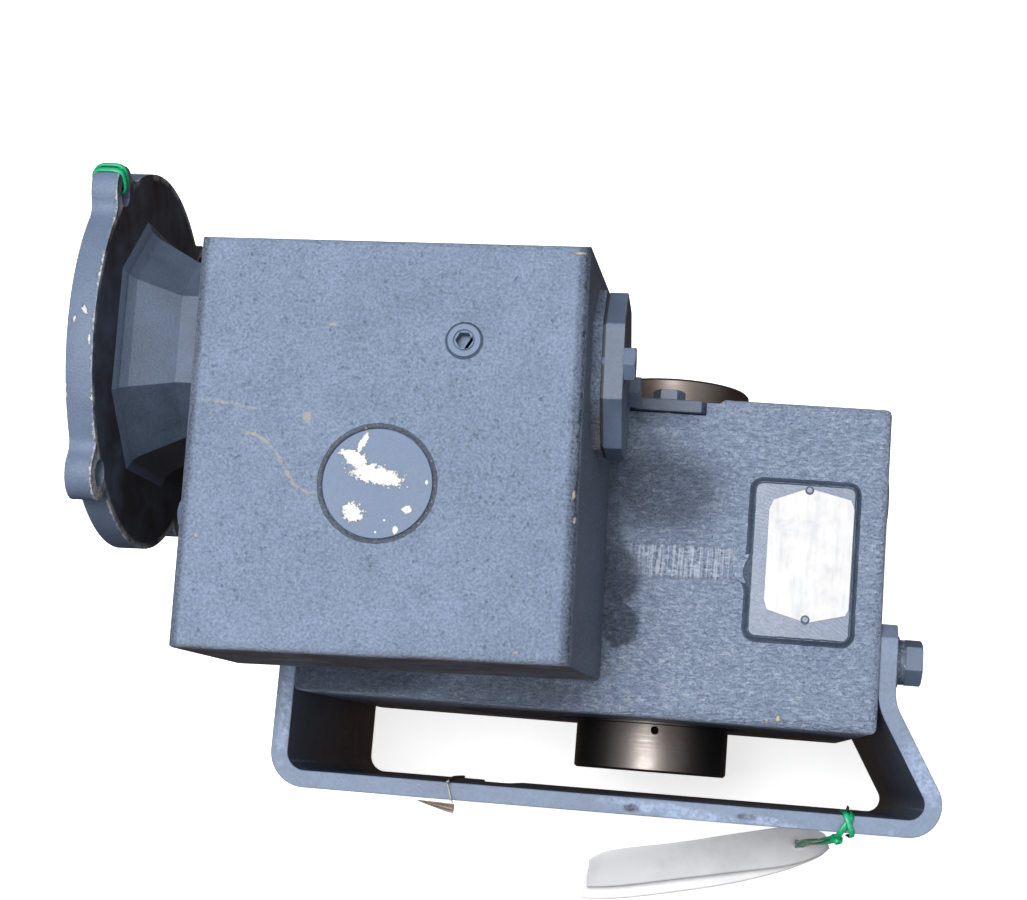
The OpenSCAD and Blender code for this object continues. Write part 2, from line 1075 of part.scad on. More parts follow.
module output_wheel_rim() {
    color(bronze)
        difference() {
            translate([0, axis_y, 0])
                rotate([-90, 0, 0])
                    wheel_rim(teeth_2, module_2, 80, 43, slope_2);
            for (k = [0:5]) {
                rotate([0, 30 + k * 60, 0])
                    translate([0, 0, 80])
                        rod_y(4, 20, 33);
            }
        }
}

module output_rim_screws() {
    color(dark_steel)
        for (k = [0:5]) {
            rotate([0, 30 + k * 60, 0])
                translate([0, 0, 80])
                    difference() {
                        rod_y(4, 20, 31);
                        translate([0, 31, 0])
                            rotate([90, 0, 0])
                                cylinder(r = 2.3, h = 4, $fn = 6);
                    }
        }
}

module output_spacers() {
    color(dark_steel) {
        difference() {
            rod_y(56, -57, -12);
            rod_y(50, -58, -11);
        }
        difference() {
            rod_y(56, 32, 57);
            rod_y(50, 31, 58);
        }
    }
}

module drain_plugs() {
    color(paint_dark)
        for (z = [-100, 0, 100]) {
            translate([case_right, 45, z])
                rotate([0, 90, 0])
                    difference() {
                        union() {
                            cylinder(r = 14, h = 3);
                            translate([0, 0, -12])
                                cylinder(r = 9, h = 12);
                        }
                        translate([0, 0, -5])
                            cylinder(r = 5 / cos(30), h = 9, $fn = 6);
                    }
        }
}

module nameplate() {
    z = case_half_z + 2.5;
    color([0.86, 0.87, 0.88])
        difference() {
            translate([0, 0, z])
                linear_extrude(height = 0.8)
                    polygon([
                        [63.2, -22.5], [63.2, 30.5], [65.5, 36], [85.3, 43.8], [109.8, 38.3],
                        [111.9, 33], [111.4, -25], [109.8, -28.6], [88, -34.2], [65, -28]
                    ]);
            for (p = [[85.7, 42.6], [87.2, -32.4]]) {
                translate([p[0], p[1], z - 1])
                    cylinder(r = 1.4, h = 8);
            }
        }
}

module nameplate_rivets() {
    z = case_half_z + 2.5;
    color(steel)
        for (p = [[85.7, 42.6], [87.2, -32.4]]) {
            translate([p[0], p[1], 0])
                union() {
                    rod_z(1.4, z - 5, z + 1);
                    translate([0, 0, z + 0.8])
                        cylinder(r1 = 2.6, r2 = 1.5, h = 1);
                }
        }
}

// ---- torque bracket ----
// The plate's inner line runs down the left leg, along the bottom, out and up the slanted right leg;
// the outer line comes back one thickness away
module bracket_profile() {
    tilt = 60.5;
    lean = 90 - tilt;
    r1 = 11;
    r2 = 9;
    r3 = 24;
    foot_x = 166.8;
    join_y = (foot_x - case_right) * tan(tilt) - bracket_drop;
    c1 = [r1 - case_left, r1 - bracket_drop];
    c2 = [foot_x - r2 / tan(tilt / 2), r2 - bracket_drop];
    c3 = [case_right + plate_t + r3, join_y + (r3 + plate_t) * tan(lean / 2)];
    polygon(concat(
        [[-case_left, leg_top]],
        arc(c1, r1, 180, 270, 12),
        arc(c2, r2, -90, lean, 14),
        arc(c3, r3 + plate_t, 180 + lean, 180, 8),
        [[case_right, leg_top], [case_right + plate_t, leg_top]],
        arc(c3, r3, 180, 180 + lean, 8),
        arc(c2, r2 + plate_t, lean, -90, 16),
        arc(c1, r1 + plate_t, 270, 180, 14),
        [[-case_left - plate_t, leg_top]]
    ));
}

module torque_bracket() {
    color(paint)
        difference() {
            translate([0, 0, -plate_w / 2])
                linear_extrude(height = plate_w)
                    bracket_profile();
            for (z = [-110, 110]) {
                translate([0, -50, z])
                    rod_x(8.75, case_right - 1, case_right + 12);
                translate([0, -50, z])
                    rod_x(8.75, -case_left - 12, -case_left + 1);
            }
            for (s = [-1, 1]) {
                translate([0, leg_top, s * plate_w / 2])
                    rotate([45, 0, 0])
                        translate([-case_left - 20, -6, -6])
                            cube([case_left + case_right + 40, 12, 12]);
            }
            translate([-109, -bracket_drop + 1, -50])
                rotate([90, 0, 0])
                    cylinder(r = 13.5, h = plate_t + 2);
            translate([-122.5, -bracket_drop - plate_t - 1, -plate_w / 2 - 1])
                cube([27, plate_t + 2, plate_w / 2 - 49]);
        }
}

module bracket_bolts() {
    color(paint_dark)
        for (z = [-110, 110]) {
            translate([case_right + plate_t + 6.5, -50, z])
                rotate([0, 90, 0])
                    rotate([0, 0, 21])
                        hex_bolt(16, 24, 10, 40);
            translate([-case_left - plate_t - 6.5, -50, z])
                rotate([0, -90, 0])
                    hex_bolt(16, 24, 10, 40);
        }
}

module bracket_washer_set(ro, ri, x0, t) {
    for (z = [-110, 110]) {
        for (s = [0, 1]) {
            translate([0, -50, z])
                translate([s == 0 ? case_right + plate_t : -case_left - plate_t, 0, 0])
                    mirror([s, 0, 0])
                        difference() {
                            rod_x(ro, x0, x0 + t);
                            rod_x(ri, x0 - 1, x0 + t + 1);
                            children();
                        }
        }
    }
}

module bracket_flat_washers() {
    color(dark_steel)
        bracket_washer_set(15, 8.5, 0, 3);
}

module bracket_spring_washers() {
    color(dark_steel)
        bracket_washer_set(13.2, 8.2, 3, 3.5)
            rotate([20, 0, 0])
                translate([0, 5, -0.8])
                    rotate([0, 0, 20])
                        cube([12, 12, 1.6]);
}

// ---- tag and ties ----
module tag_leaf(x0) {
    difference() {
        linear_extrude(height = 0.4)
            polygon([[-79.5, -39.5], [64, -39.5], [79.5, -22], [79.5, 22], [64, 39.5], [-79.5, 39.5]]);
        translate([70, 0, -1])
            cylinder(r = 3, h = 3);
    }
}

module paper_tag_front() {
    color([0.93, 0.93, 0.92])
        translate([38, -182, 12])
            rotate([0, 3, 12.5])
                rotate([-66, 0, 0])
                    tag_leaf(0);
}

module paper_tag_back() {
    color([0.90, 0.90, 0.89])
        translate([35, -188, 3])
            rotate([0, 3, 13.5])
                rotate([-72, 0, 0])
                    tag_leaf(1);
}

// Square loop of tie wire round the whole plate, at x
module plate_loop(x, r, gap) {
    ry = plate_t / 2 + gap;
    rz = plate_w / 2 + gap;
    translate([x, -bracket_drop - plate_t / 2, 0])
        along_x(-r, r)
            difference() {
                soft_rect(-ry - 2 * r, ry + 2 * r, -rz - 2 * r, rz + 2 * r, 3);
                soft_rect(-ry, ry, -rz, rz, 1);
            }
}

module tag_tie() {
    color([0.10, 0.55, 0.35])
        plate_loop(117, 1.2, 0.4);
}

module clear_tie() {
    color([0.85, 0.85, 0.82])
        plate_loop(-138, 0.6, 0.4);
}

module flange_tie() {
    r = 1.3;
    x0 = flange_u0 - r - 0.1;
    x1 = flange_u1 + r + 0.1;
    y = flange_pcd / 2 + 14.3 + r;
    color([0.10, 0.55, 0.35])
        swing()
            on_input()
                rotate([45, 0, 0]) {
                    translate([0, y, 0])
                        rod_x(r, x0, x1);
                    for (x = [x0, x1]) {
                        translate([x, 0, 0])
                            rod_y(r, y - 5.5, y);
                        translate([x, y, 0])
                            sphere(r = r);
                    }
                }
}

primary_housing();
secondary_housing();
interstage_gasket();
interstage_screws();
interstage_seal();
motor_adapter();
adapter_gasket();
adapter_screws();
input_oil_seal();
input_bearing_outer_rings();
input_worm_shaft();
input_bearing_inner_rings();
input_bearing_balls();
input_end_cover();
input_cover_gasket();
input_cover_bolts();
sealing_cap();
lower_sealing_cap();
oil_filler_plug();
side_level_plug();
intermediate_bearing_outer_rings();
intermediate_worm_shaft();
intermediate_bearing_inner_rings();
intermediate_bearing_balls();
primary_wheel_hub();
primary_wheel_rim();
primary_wheel_key();
intermediate_spacer();
output_cover_upper();
output_cover_lower();
output_cover_gaskets();
output_cover_bolts();
output_cover_lower_screws();
output_oil_seals();
output_bearing_outer_rings();
output_hollow_shaft();
output_bearing_inner_rings();
output_bearing_balls();
output_wheel_hub();
output_wheel_rim();
output_rim_screws();
output_wheel_key();
output_spacers();
drain_plugs();
nameplate();
nameplate_rivets();
torque_bracket();
bracket_bolts();
bracket_flat_washers();
bracket_spring_washers();
paper_tag_front();
paper_tag_back();
tag_tie();
flange_tie();
clear_tie();
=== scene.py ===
import json
import math

import bmesh
import bpy
from mathutils import Euler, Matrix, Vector, noise


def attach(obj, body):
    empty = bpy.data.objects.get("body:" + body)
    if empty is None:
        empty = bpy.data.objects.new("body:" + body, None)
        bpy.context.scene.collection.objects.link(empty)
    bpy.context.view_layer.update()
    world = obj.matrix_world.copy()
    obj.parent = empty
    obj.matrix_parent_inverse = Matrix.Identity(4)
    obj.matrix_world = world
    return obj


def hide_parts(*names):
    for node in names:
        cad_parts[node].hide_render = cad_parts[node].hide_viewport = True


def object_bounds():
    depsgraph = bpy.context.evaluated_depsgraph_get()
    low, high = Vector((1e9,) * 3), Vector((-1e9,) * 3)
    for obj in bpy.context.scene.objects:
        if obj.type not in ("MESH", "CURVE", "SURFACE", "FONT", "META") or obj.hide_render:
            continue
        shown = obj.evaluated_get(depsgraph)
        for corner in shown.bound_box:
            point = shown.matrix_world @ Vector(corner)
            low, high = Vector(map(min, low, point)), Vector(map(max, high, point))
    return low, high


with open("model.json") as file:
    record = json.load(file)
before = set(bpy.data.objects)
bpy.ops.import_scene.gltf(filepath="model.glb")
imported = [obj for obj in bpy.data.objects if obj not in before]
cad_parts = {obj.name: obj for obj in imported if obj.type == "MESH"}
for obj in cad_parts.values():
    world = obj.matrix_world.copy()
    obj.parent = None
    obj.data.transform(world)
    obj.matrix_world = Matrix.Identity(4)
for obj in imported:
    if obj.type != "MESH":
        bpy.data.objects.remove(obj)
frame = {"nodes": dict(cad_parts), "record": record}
start_box = [list(v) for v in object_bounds()]
nodes = frame["nodes"]
scene = bpy.context.scene

# Levels and places that several pieces share, in metres. The upper stage has a frame of its own, u, v and z,
# turned about the vertical shaft.
SWING_DEGREES = 1.6
SWING_CENTRE = (-0.142, 0.0102)
INPUT_AXIS = (0.075, 0.2147)                # v and z of the input shaft
FLANGE_FRONT, FLANGE_BACK = -0.1601, -0.1459  # u of the worn edges of the flange's rim
UPPER_TOP = 0.2868                          # level of the marks on the upper housing and its cap
LOWER_TOP = 0.146                           # lower housing's upper face
PAD_LEVEL = 0.148                           # just under the upper face of the rating plate's pad
PAD_LEFT = 0.0545                           # x where that pad begins
BRACKET_EDGE = 0.140                        # upper edge of the torque bracket
FLOOR_LEVEL = start_box[0][2] - 0.0005
FLOOR_REACH = 60


def sw(u, v, z):
    """A point of the upper stage's frame, in the whole unit's frame."""
    turn = math.radians(SWING_DEGREES)
    c, s = math.cos(turn), math.sin(turn)
    return Vector((SWING_CENTRE[0] + u * c - v * s, SWING_CENTRE[1] + u * s + v * c, z))


# ---- camera ----
cam_data = bpy.data.cameras.new("camera")
cam_data.lens = 65.3
cam_data.sensor_width = 36.0
cam_data.shift_x = -0.0256
cam_data.shift_y = 0.0020
cam_data.clip_end = 20
cam = bpy.data.objects.new("camera", cam_data)
cam.location = (0.035873, -0.124689, 1.226833)
cam.rotation_euler = Euler([math.radians(a) for a in (9.8472, 4.9868, 4.6075)], "XYZ")
scene.collection.objects.link(cam)
scene.camera = cam


# ---- node helpers ----
class Mat:
    """One material and short ways to add its nodes. Lengths are in metres."""

    def __init__(self, name, colour, rough, metal=0.0):
        self.mat = bpy.data.materials.new(name)
        self.mat.use_nodes = True
        self.tree = self.mat.node_tree
        self.tree.nodes.clear()
        out = self.new("ShaderNodeOutputMaterial")
        self.bsdf = self.new("ShaderNodeBsdfPrincipled")
        self.link(self.bsdf.outputs[0], out.inputs[0])
        self.bsdf.inputs["Base Color"].default_value = (*colour, 1)
        self.bsdf.inputs["Roughness"].default_value = rough
        self.bsdf.inputs["Metallic"].default_value = metal
        texco = self.new("ShaderNodeTexCoord")
        self.coords, self.normal = texco.outputs["Object"], texco.outputs["Normal"]

    def new(self, kind, **props):
        n = self.tree.nodes.new(kind)
        for k, v in props.items():
            setattr(n, k, v)
        return n

    def link(self, a, b):
        """Joins output a to input b, or sets b where a is a plain value."""
        if isinstance(a, (int, float, tuple)):
            b.default_value = a
        else:
            self.tree.links.new(a, b)

    def set(self, socket, value):
        self.link(value, self.bsdf.inputs[socket])

    def noise(self, scale, detail, rough, vector=None, distort=0.0):
        n = self.new("ShaderNodeTexNoise")
        n.inputs["Scale"].default_value = scale
        n.inputs["Detail"].default_value = detail
        n.inputs["Roughness"].default_value = rough
        n.inputs["Distortion"].default_value = distort
        self.link(vector or self.coords, n.inputs["Vector"])
        return n.outputs[0]

    def cells(self, scale, vector):
        n = self.new("ShaderNodeTexVoronoi", feature="F1")
        n.inputs["Scale"].default_value = scale
        self.link(vector, n.inputs["Vector"])
        return n.outputs["Distance"]

    def math(self, op, a, b=0.0, clamp=False):
        n = self.new("ShaderNodeMath", operation=op, use_clamp=clamp)
        self.link(a, n.inputs[0])
        self.link(b, n.inputs[1])
        return n.outputs[0]

    def add(self, a, b):
        return self.math("ADD", a, b)

    def sub(self, a, b):
        return self.math("SUBTRACT", a, b)

    def mul(self, a, b):
        return self.math("MULTIPLY", a, b)

    def most(self, values):
        out = values[0]
        for v in values[1:]:
            out = self.math("MAXIMUM", out, v)
        return out

    def span(self, x, a, b, lo=0.0, hi=1.0, smooth=False):
        """Maps x from a..b to lo..hi, held at the ends."""
        n = self.new("ShaderNodeMapRange")
        if smooth:
            n.interpolation_type = "SMOOTHSTEP"
        for i, v in enumerate((x, a, b, lo, hi)):
            self.link(v, n.inputs[i])
        return n.outputs[0]

    def mix(self, t, a, b):
        n = self.new("ShaderNodeMix", data_type="RGBA")
        for i, v in ((0, t), (6, a), (7, b)):
            self.link(v, n.inputs[i])
        return n.outputs[2]

    def blend(self, t, a, b):
        n = self.new("ShaderNodeMix", data_type="FLOAT")
        for i, v in ((0, t), (2, a), (3, b)):
            self.link(v, n.inputs[i])
        return n.outputs[0]

    def valued(self, colour, value, saturation=1.0):
        """The colour with its brightness multiplied by value."""
        n = self.new("ShaderNodeHueSaturation")
        self.link((*colour, 1), n.inputs["Color"])
        self.link(value, n.inputs["Value"])
        n.inputs["Saturation"].default_value = saturation
        return n.outputs[0]

    def xyz(self, vector):
        n = self.new("ShaderNodeSeparateXYZ")
        self.link(vector, n.inputs[0])
        return n.outputs

    def stretch(self, scale):
        n = self.new("ShaderNodeMapping")
        n.inputs["Scale"].default_value = scale
        self.link(self.coords, n.inputs["Vector"])
        return n.outputs[0]

    def place(self, centre, turn=0.0, size=(1, 1, 1)):
        """Coordinates about a point, turned about Z by turn degrees and measured in size."""
        n = self.new("ShaderNodeMapping", vector_type="TEXTURE")
        n.inputs["Location"].default_value = centre
        n.inputs["Rotation"].default_value = (0, 0, math.radians(turn))
        n.inputs["Scale"].default_value = size
        self.link(self.coords, n.inputs["Vector"])
        return n.outputs[0]

    def length(self, v):
        n = self.new("ShaderNodeVectorMath", operation="LENGTH")
        self.link(v, n.inputs[0])
        return n.outputs["Value"]

    def bump(self, height, distance, strength=1.0):
        n = self.new("ShaderNodeBump")
        n.inputs["Strength"].default_value = strength
        n.inputs["Distance"].default_value = distance
        self.link(height, n.inputs["Height"])
        return n.outputs[0]

    def spot(self, centre, size, turn, ragged, grain, edge=0.04):
        """A ragged patch: 1 inside, 0 outside. size is its half-lengths, edge how soft its rim is."""
        d = self.length(self.place(centre, turn, (*size, 0.004)))
        fray = self.sub(self.noise(grain, 8, 0.78), 0.5)
        d = self.add(d, self.mul(fray, ragged * 2))
        return self.span(d, 1 + edge, 1 - edge, smooth=edge > 0.2)

    def patches(self, z, rows):
        """Spots at one level. A row is x, y, two half-lengths, turn, raggedness, grain, and then a rim
        softness and a strength where they differ from the usual."""
        found = []
        for x, y, half_x, half_y, turn, ragged, grain, *rest in rows:
            edge, strength = (*rest, *(0.04, 1.0)[len(rest):])
            one = self.spot((x, y, z), (half_x, half_y), turn, ragged, grain, edge)
            found.append(one if strength == 1.0 else self.mul(one, strength))
        return self.most(found)

    def stroke(self, points, width):
        """A broken scratch along the points."""
        found = []
        for a, b in zip(points, points[1:]):
            a, b = Vector(a), Vector(b)
            ab = b - a
            pa = self.new("ShaderNodeVectorMath", operation="SUBTRACT")
            self.link(self.coords, pa.inputs[0])
            pa.inputs[1].default_value = a
            dot = self.new("ShaderNodeVectorMath", operation="DOT_PRODUCT")
            self.link(pa.outputs[0], dot.inputs[0])
            dot.inputs[1].default_value = ab / ab.length_squared
            t = self.math("MULTIPLY", dot.outputs["Value"], 1.0, clamp=True)
            along = self.new("ShaderNodeVectorMath", operation="SCALE")
            along.inputs[0].default_value = ab
            self.link(t, along.inputs["Scale"])
            off = self.new("ShaderNodeVectorMath", operation="SUBTRACT")
            self.link(pa.outputs[0], off.inputs[0])
            self.link(along.outputs[0], off.inputs[1])
            found.append(self.length(off.outputs[0]))
        d = found[0]
        for v in found[1:]:
            d = self.math("MINIMUM", d, v)
        d = self.add(d, self.span(self.noise(240, 3, 0.6), 0.3, 0.7, -width, width))
        gaps = self.span(self.noise(520, 2, 0.5), 0.36, 0.52)
        return self.mul(self.span(d, width * 1.3, width * 0.3), gaps)


# ---- paints ----
TINT = (0.122, 0.166, 0.252)
# Colour of the painted highlights (glints) on the lower housing's skin and rubbed streak.
GLINT = (0.52, 0.535, 0.56)
# Colour of the painted shade on the back face of the adapter's flange.
PAINTED_SHADE = (0.020, 0.014, 0.013)
STAIN = (0.42, 0.39, 0.33)
CHIP_DEPTH = 0.5              # of the skin's own height


def paint(name, grain, depth, rough=0.42, coarse=0.0, speckle=0.10, pits=0.0, cloudy=0.06, gloss=0.35,
          shade=0.0):
    """Satin blue-grey machine paint over a cast skin: grain is the skin's size, depth its height, and shade
    what is added to the paint's brightness of 1."""
    m = Mat(name, TINT, rough)
    m.bsdf.inputs["Specular IOR Level"].default_value = gloss
    fine = m.noise(1.0 / grain, 6, 0.72)
    broad = m.noise(9, 4, 0.6)
    m.mid = m.noise(48, 4, 0.62)
    m.height, m.depth = fine, depth
    m.shade = m.add(m.span(broad, 0.35, 0.65, -cloudy, cloudy), m.span(m.mid, 0.35, 0.65, -cloudy, cloudy))
    m.shade = m.add(m.shade, m.span(fine, 0.25, 0.75, -speckle * 2, speckle * 2))
    if coarse:
        lumps = m.noise(1.0 / coarse, 4, 0.62, m.stretch((0.62, 1.3, 1.0)), distort=0.6)
        m.height = m.add(m.height, m.mul(lumps, 2.0))
        m.shade = m.add(m.shade, m.span(lumps, 0.28, 0.72, -speckle * 1.6, speckle * 1.6))
    if pits:
        warp = m.new("ShaderNodeTexNoise")
        warp.inputs["Scale"].default_value = 0.8 / grain
        m.link(m.coords, warp.inputs["Vector"])
        shift = m.new("ShaderNodeVectorMath", operation="MULTIPLY_ADD")
        m.link(warp.outputs["Color"], shift.inputs[0])
        shift.inputs[1].default_value = (grain * 1.6,) * 3
        m.link(m.coords, shift.inputs[2])
        dots = m.span(m.cells(0.5 / grain, shift.outputs[0]), 0.40, 0.08)
        pit = m.mul(dots, m.span(m.noise(120, 3, 0.6), 0.42, 0.62))
        m.height = m.sub(m.height, m.mul(pit, 0.55))
        m.shade = m.sub(m.shade, m.mul(pit, pits))
    if shade:
        m.shade = m.add(m.shade, shade)
    m.glint, m.dye = None, 1.0
    m.rough = m.add(m.span(m.mid, 0.3, 0.7, rough - 0.05, rough + 0.08), m.span(fine, 0.3, 0.7, 0.05, -0.05))
    return m


def finish_paint(m, worn=None, worn_colour=None, stain=None, darkening=None, darkening_colour=PAINTED_SHADE):
    """Joins a paint's colour with its painted glints (painted highlights), its darkening (rust and painted
    reflection on the upper housing, painted shade on the adapter's flange), its stains and its chips (worn).
    """
    colour = m.valued(TINT, m.add(m.shade, 1.0), m.dye)
    rough, height = m.rough, m.height
    if m.glint is not None:
        colour = m.mix(m.glint, colour, (*GLINT, 1))
    # The darkening is rust and painted reflection on the upper housing, painted shade on the adapter.
    if darkening is not None:
        colour = m.mix(darkening, colour, (*darkening_colour, 1))
        rough = m.blend(darkening, rough, 0.6)
    if stain is not None:
        colour = m.mix(m.mul(stain, 0.80), colour, (*STAIN, 1))
        rough = m.blend(stain, rough, 0.7)
    if worn is not None:
        darker = tuple(k * 0.72 for k in worn_colour)
        tone = m.mix(m.span(m.noise(1100, 3, 0.6), 0.38, 0.66), (*worn_colour, 1), (*darker, 1))
        colour = m.mix(worn, colour, tone)
        rough = m.blend(worn, rough, 0.5)
        height = m.sub(m.mul(height, m.span(worn, 0, 1, 1, 0.3)), m.mul(worn, CHIP_DEPTH))
    m.set("Base Color", colour)
    m.set("Roughness", rough)
    m.set("Normal", m.bump(height, m.depth))


# Upper housing: fine pitted skin, painted shade on its +X faces and in bands at both ends of its top, rust and
# painted reflection on the near side, two yellowed scratches, nicks
paint_a = m = paint("paint_fine_cast", 0.0015, 0.0024, speckle=0.40, pits=0.24, cloudy=0.085, shade=0.60)
m.dye = 0.86
nx, ny, nz = m.xyz(m.normal)
# Painted shade: faces turned towards +X are darkened.
m.shade = m.sub(m.shade, m.span(nx, 0.4, 0.8, 0, 0.55))
u, _, _ = m.xyz(m.place(tuple(sw(0, 0, 0)), SWING_DEGREES))
# Painted shade: dark bands where the top face rounds off at both ends, as the rounded edges turn from the light.
edge_shade = m.mul(m.span(m.math("ABSOLUTE", u), 0.0973, 0.1007, smooth=True), m.span(nz, 0.3, 0.7))
m.shade = m.sub(m.shade, m.mul(edge_shade, 0.70))
# Rust and painted reflection: faces turned towards -Y take a patchy warm brown, partly rust and partly a painted
# reflection of a warm floor.
rust_and_reflection = m.mul(m.span(ny, -0.5, -0.9), m.span(m.noise(45, 5, 0.65), 0.38, 0.60, 0.15, 0.75))
upper_scratch = [(-0.2385, 0.0486), (-0.2319, 0.0479), (-0.2228, 0.0474), (-0.2100, 0.0455)]
lower_scratch = [(-0.2152, 0.0324), (-0.2093, 0.0317), (-0.2025, 0.0284), (-0.1966, 0.0230),
                 (-0.1909, 0.0139), (-0.1842, 0.0054), (-0.1776, 0.0032), (-0.1723, 0.0025)]
stain = m.most([
    m.stroke([(*q, UPPER_TOP) for q in upper_scratch], 0.0007),
    m.stroke([(*q, UPPER_TOP) for q in lower_scratch], 0.0008),
    m.patches(UPPER_TOP, [
        (-0.1822, 0.0425, 0.0022, 0.0028, 0, 1.0, 700),
        (-0.1734, 0.0929, 0.0024, 0.0009, 0, 0.9, 900),
    ]),
])
along_edges = m.patches(UPPER_TOP, [
    (-0.0430, -0.0150, 0.0045, 0.062, 2, 0.3, 60, 0.5),
    (-0.0480, 0.1375, 0.024, 0.005, 0, 0.3, 90, 0.5),
    (-0.1400, -0.0760, 0.100, 0.004, 2, 0.3, 90, 0.5),
    (-0.1600, 0.1420, 0.090, 0.003, -2, 0.3, 90, 0.5),
])
nicks = m.most([
    m.mul(m.span(m.noise(520, 4, 0.7), 0.66, 0.70), along_edges),
    m.patches(UPPER_TOP, [
        (-0.0400, 0.0110, 0.0008, 0.0026, 0, 1.9, 800),
        (-0.0385, -0.0020, 0.0008, 0.0020, 0, 1.9, 800),
        (-0.0465, 0.1385, 0.0034, 0.0009, 0, 1.9, 800),
        (-0.2341, -0.0232, 0.0012, 0.0010, 0, 0.8, 800),
        (-0.0630, -0.0715, 0.0020, 0.0006, 0, 1.9, 800),
    ]),
])
finish_paint(m, nicks, (0.33, 0.30, 0.27), stain, rust_and_reflection, (0.125, 0.075, 0.052))

# Lower housing: coarser, glossier skin with painted glints, smooth machined pad, rubbed patches, and dark
# patches that are partly grease and partly painted shadow
paint_b = m = paint("paint_coarse_cast", 0.0011, 0.0019, coarse=0.0021, speckle=0.44, rough=0.30, cloudy=0.08)
m.dye = 0.84
# Painted highlight: light glints painted where the skin stands highest.
sparkle = m.mul(m.span(m.add(m.height, m.mul(m.mid, 0.6)), 1.90, 2.32), 0.62)
x, _, z = m.xyz(m.coords)
pad = m.mul(m.span(x, PAD_LEFT - 0.001, PAD_LEFT), m.span(z, PAD_LEVEL - 0.0002, PAD_LEVEL + 0.0002))
arcs = m.new("ShaderNodeTexWave", wave_type="RINGS", rings_direction="Z")
for socket, value in (("Scale", 150), ("Distortion", 2.5), ("Detail", 2), ("Detail Scale", 1.5)):
    arcs.inputs[socket].default_value = value
m.link(m.place((0.02, -0.16, PAD_LEVEL)), arcs.inputs["Vector"])
swirl = m.mul(m.span(arcs.outputs["Fac"], 0.55, 0.95), m.span(m.noise(34, 3, 0.6), 0.42, 0.60))
lines = m.noise(1.0, 3, 0.6, m.stretch((900, 42, 1)))
along, across, _ = m.xyz(m.place((0.0130, -0.0035, LOWER_TOP), 1))
fray = m.span(m.noise(240, 4, 0.7), 0.3, 0.7, -0.0016, 0.0016)
rubbed = m.mul(m.span(m.add(m.math("ABSOLUTE", along), fray), 0.0385, 0.0270),
               m.span(m.add(m.math("ABSOLUTE", across), fray), 0.0104, 0.0086))
# Rubbed streak's lines: real wear, and painted highlight through the glints below.
rub_and_sheen = m.mul(rubbed, m.span(lines, 0.42, 0.58, -0.55, 1.0))
# Grease and painted shadow: dark patches, partly grease and partly the painted shadow of the upper housing and
# the shade beside its wall.
grease_and_shadow = m.patches(LOWER_TOP, [
    (-0.0230, -0.0150, 0.0150, 0.0200, 0, 0.5, 70, 0.30),
    (0.0020, 0.0370, 0.0340, 0.0260, 0, 0.45, 40, 0.5, 0.85),
    (-0.0330, 0.0050, 0.0130, 0.0700, 0, 0.3, 50, 0.5, 0.9),
    (-0.0200, -0.0420, 0.0120, 0.0140, 0, 0.5, 90, 0.15),
    (-0.1900, -0.0860, 0.0700, 0.0120, 3, 0.3, 60, 0.4, 0.95),
    (-0.0800, -0.0880, 0.0450, 0.0110, 3, 0.3, 60, 0.4, 0.55),
])
m.height = m.mul(m.height, m.span(pad, 0, 1, 1, 0.03))
m.height = m.mul(m.height, m.span(rubbed, 0, 1, 1, 0.45))
m.height = m.add(m.height, m.mul(m.mul(swirl, pad), 0.06))
m.shade = m.mul(m.shade, m.span(pad, 0, 1, 1, 0.25))
m.shade = m.add(m.shade, m.mul(pad, m.add(m.mul(swirl, 0.46), -0.18)))
m.shade = m.mul(m.add(m.shade, m.span(pad, 0, 1, 1.96, 1.02)), m.span(grease_and_shadow, 0, 1, 1, 0.34))
m.shade = m.sub(m.shade, 1.0)
strokes = m.sub(m.mul(rub_and_sheen, 0.34), m.mul(rubbed, 0.62))
m.shade = m.add(m.shade, m.mul(strokes, m.span(grease_and_shadow, 0, 0.7, 1, 0)))
m.rough = m.add(m.rough, m.mul(grease_and_shadow, 0.14))
quiet = m.mul(m.span(grease_and_shadow, 0, 1, 1, 0.12), m.span(pad, 0, 1, 1, 0))
# Painted highlight: a broad patch at the lower left where the painted glints are stronger.
bright = m.spot((0.0150, -0.0640, LOWER_TOP), (0.0620, 0.0400), 0, 0.5, 30, 0.6)
sparkle = m.mul(sparkle, m.span(bright, 0, 1, 1.0, 1.55))
# The glints are painted highlights, on the skin and along the rubbed streak's lines.
m.glint = m.math("MAXIMUM", m.mul(sparkle, quiet), m.mul(m.mul(rub_and_sheen, quiet), 0.40))
nicks = m.patches(0.144, [
    (0.0751, -0.0895, 0.0014, 0.0020, 0, 1.1, 800),
    (0.0690, -0.0910, 0.0010, 0.0011, 0, 1.0, 800),
])
finish_paint(m, nicks, (0.46, 0.40, 0.32))

# Motor adapter: both edges of the flange rim are worn bright, chips on the rim and the body, painted shade on
# the back face and on the body behind the rim, painted light on the rim
# Painted shade: the adapter is a darker copy of the paint.
paint_m = m = paint("paint_adapter", 0.0014, 0.00040, speckle=0.05, rough=0.40, shade=-0.30)
u, v, w = m.xyz(m.place(tuple(sw(0, *INPUT_AXIS)), SWING_DEGREES))
from_axis = m.new("ShaderNodeCombineXYZ")
m.link(v, from_axis.inputs[0])
m.link(w, from_axis.inputs[1])
rim = m.span(m.length(from_axis.outputs[0]), 0.1020, 0.1045)
fray = m.span(m.noise(420, 5, 0.75), 0.3, 0.7, -0.0012, 0.0024)
worn_here = m.span(m.noise(52, 3, 0.6), 0.42, 0.58)
front_edge = m.span(m.add(m.math("ABSOLUTE", m.sub(u, FLANGE_FRONT)), fray), 0.0010, 0.0004)
back_edge = m.span(m.add(m.math("ABSOLUTE", m.sub(u, FLANGE_BACK)), fray), 0.0017, 0.0011)
chips = [m.mul(m.mul(m.most([front_edge, back_edge]), rim), worn_here)]
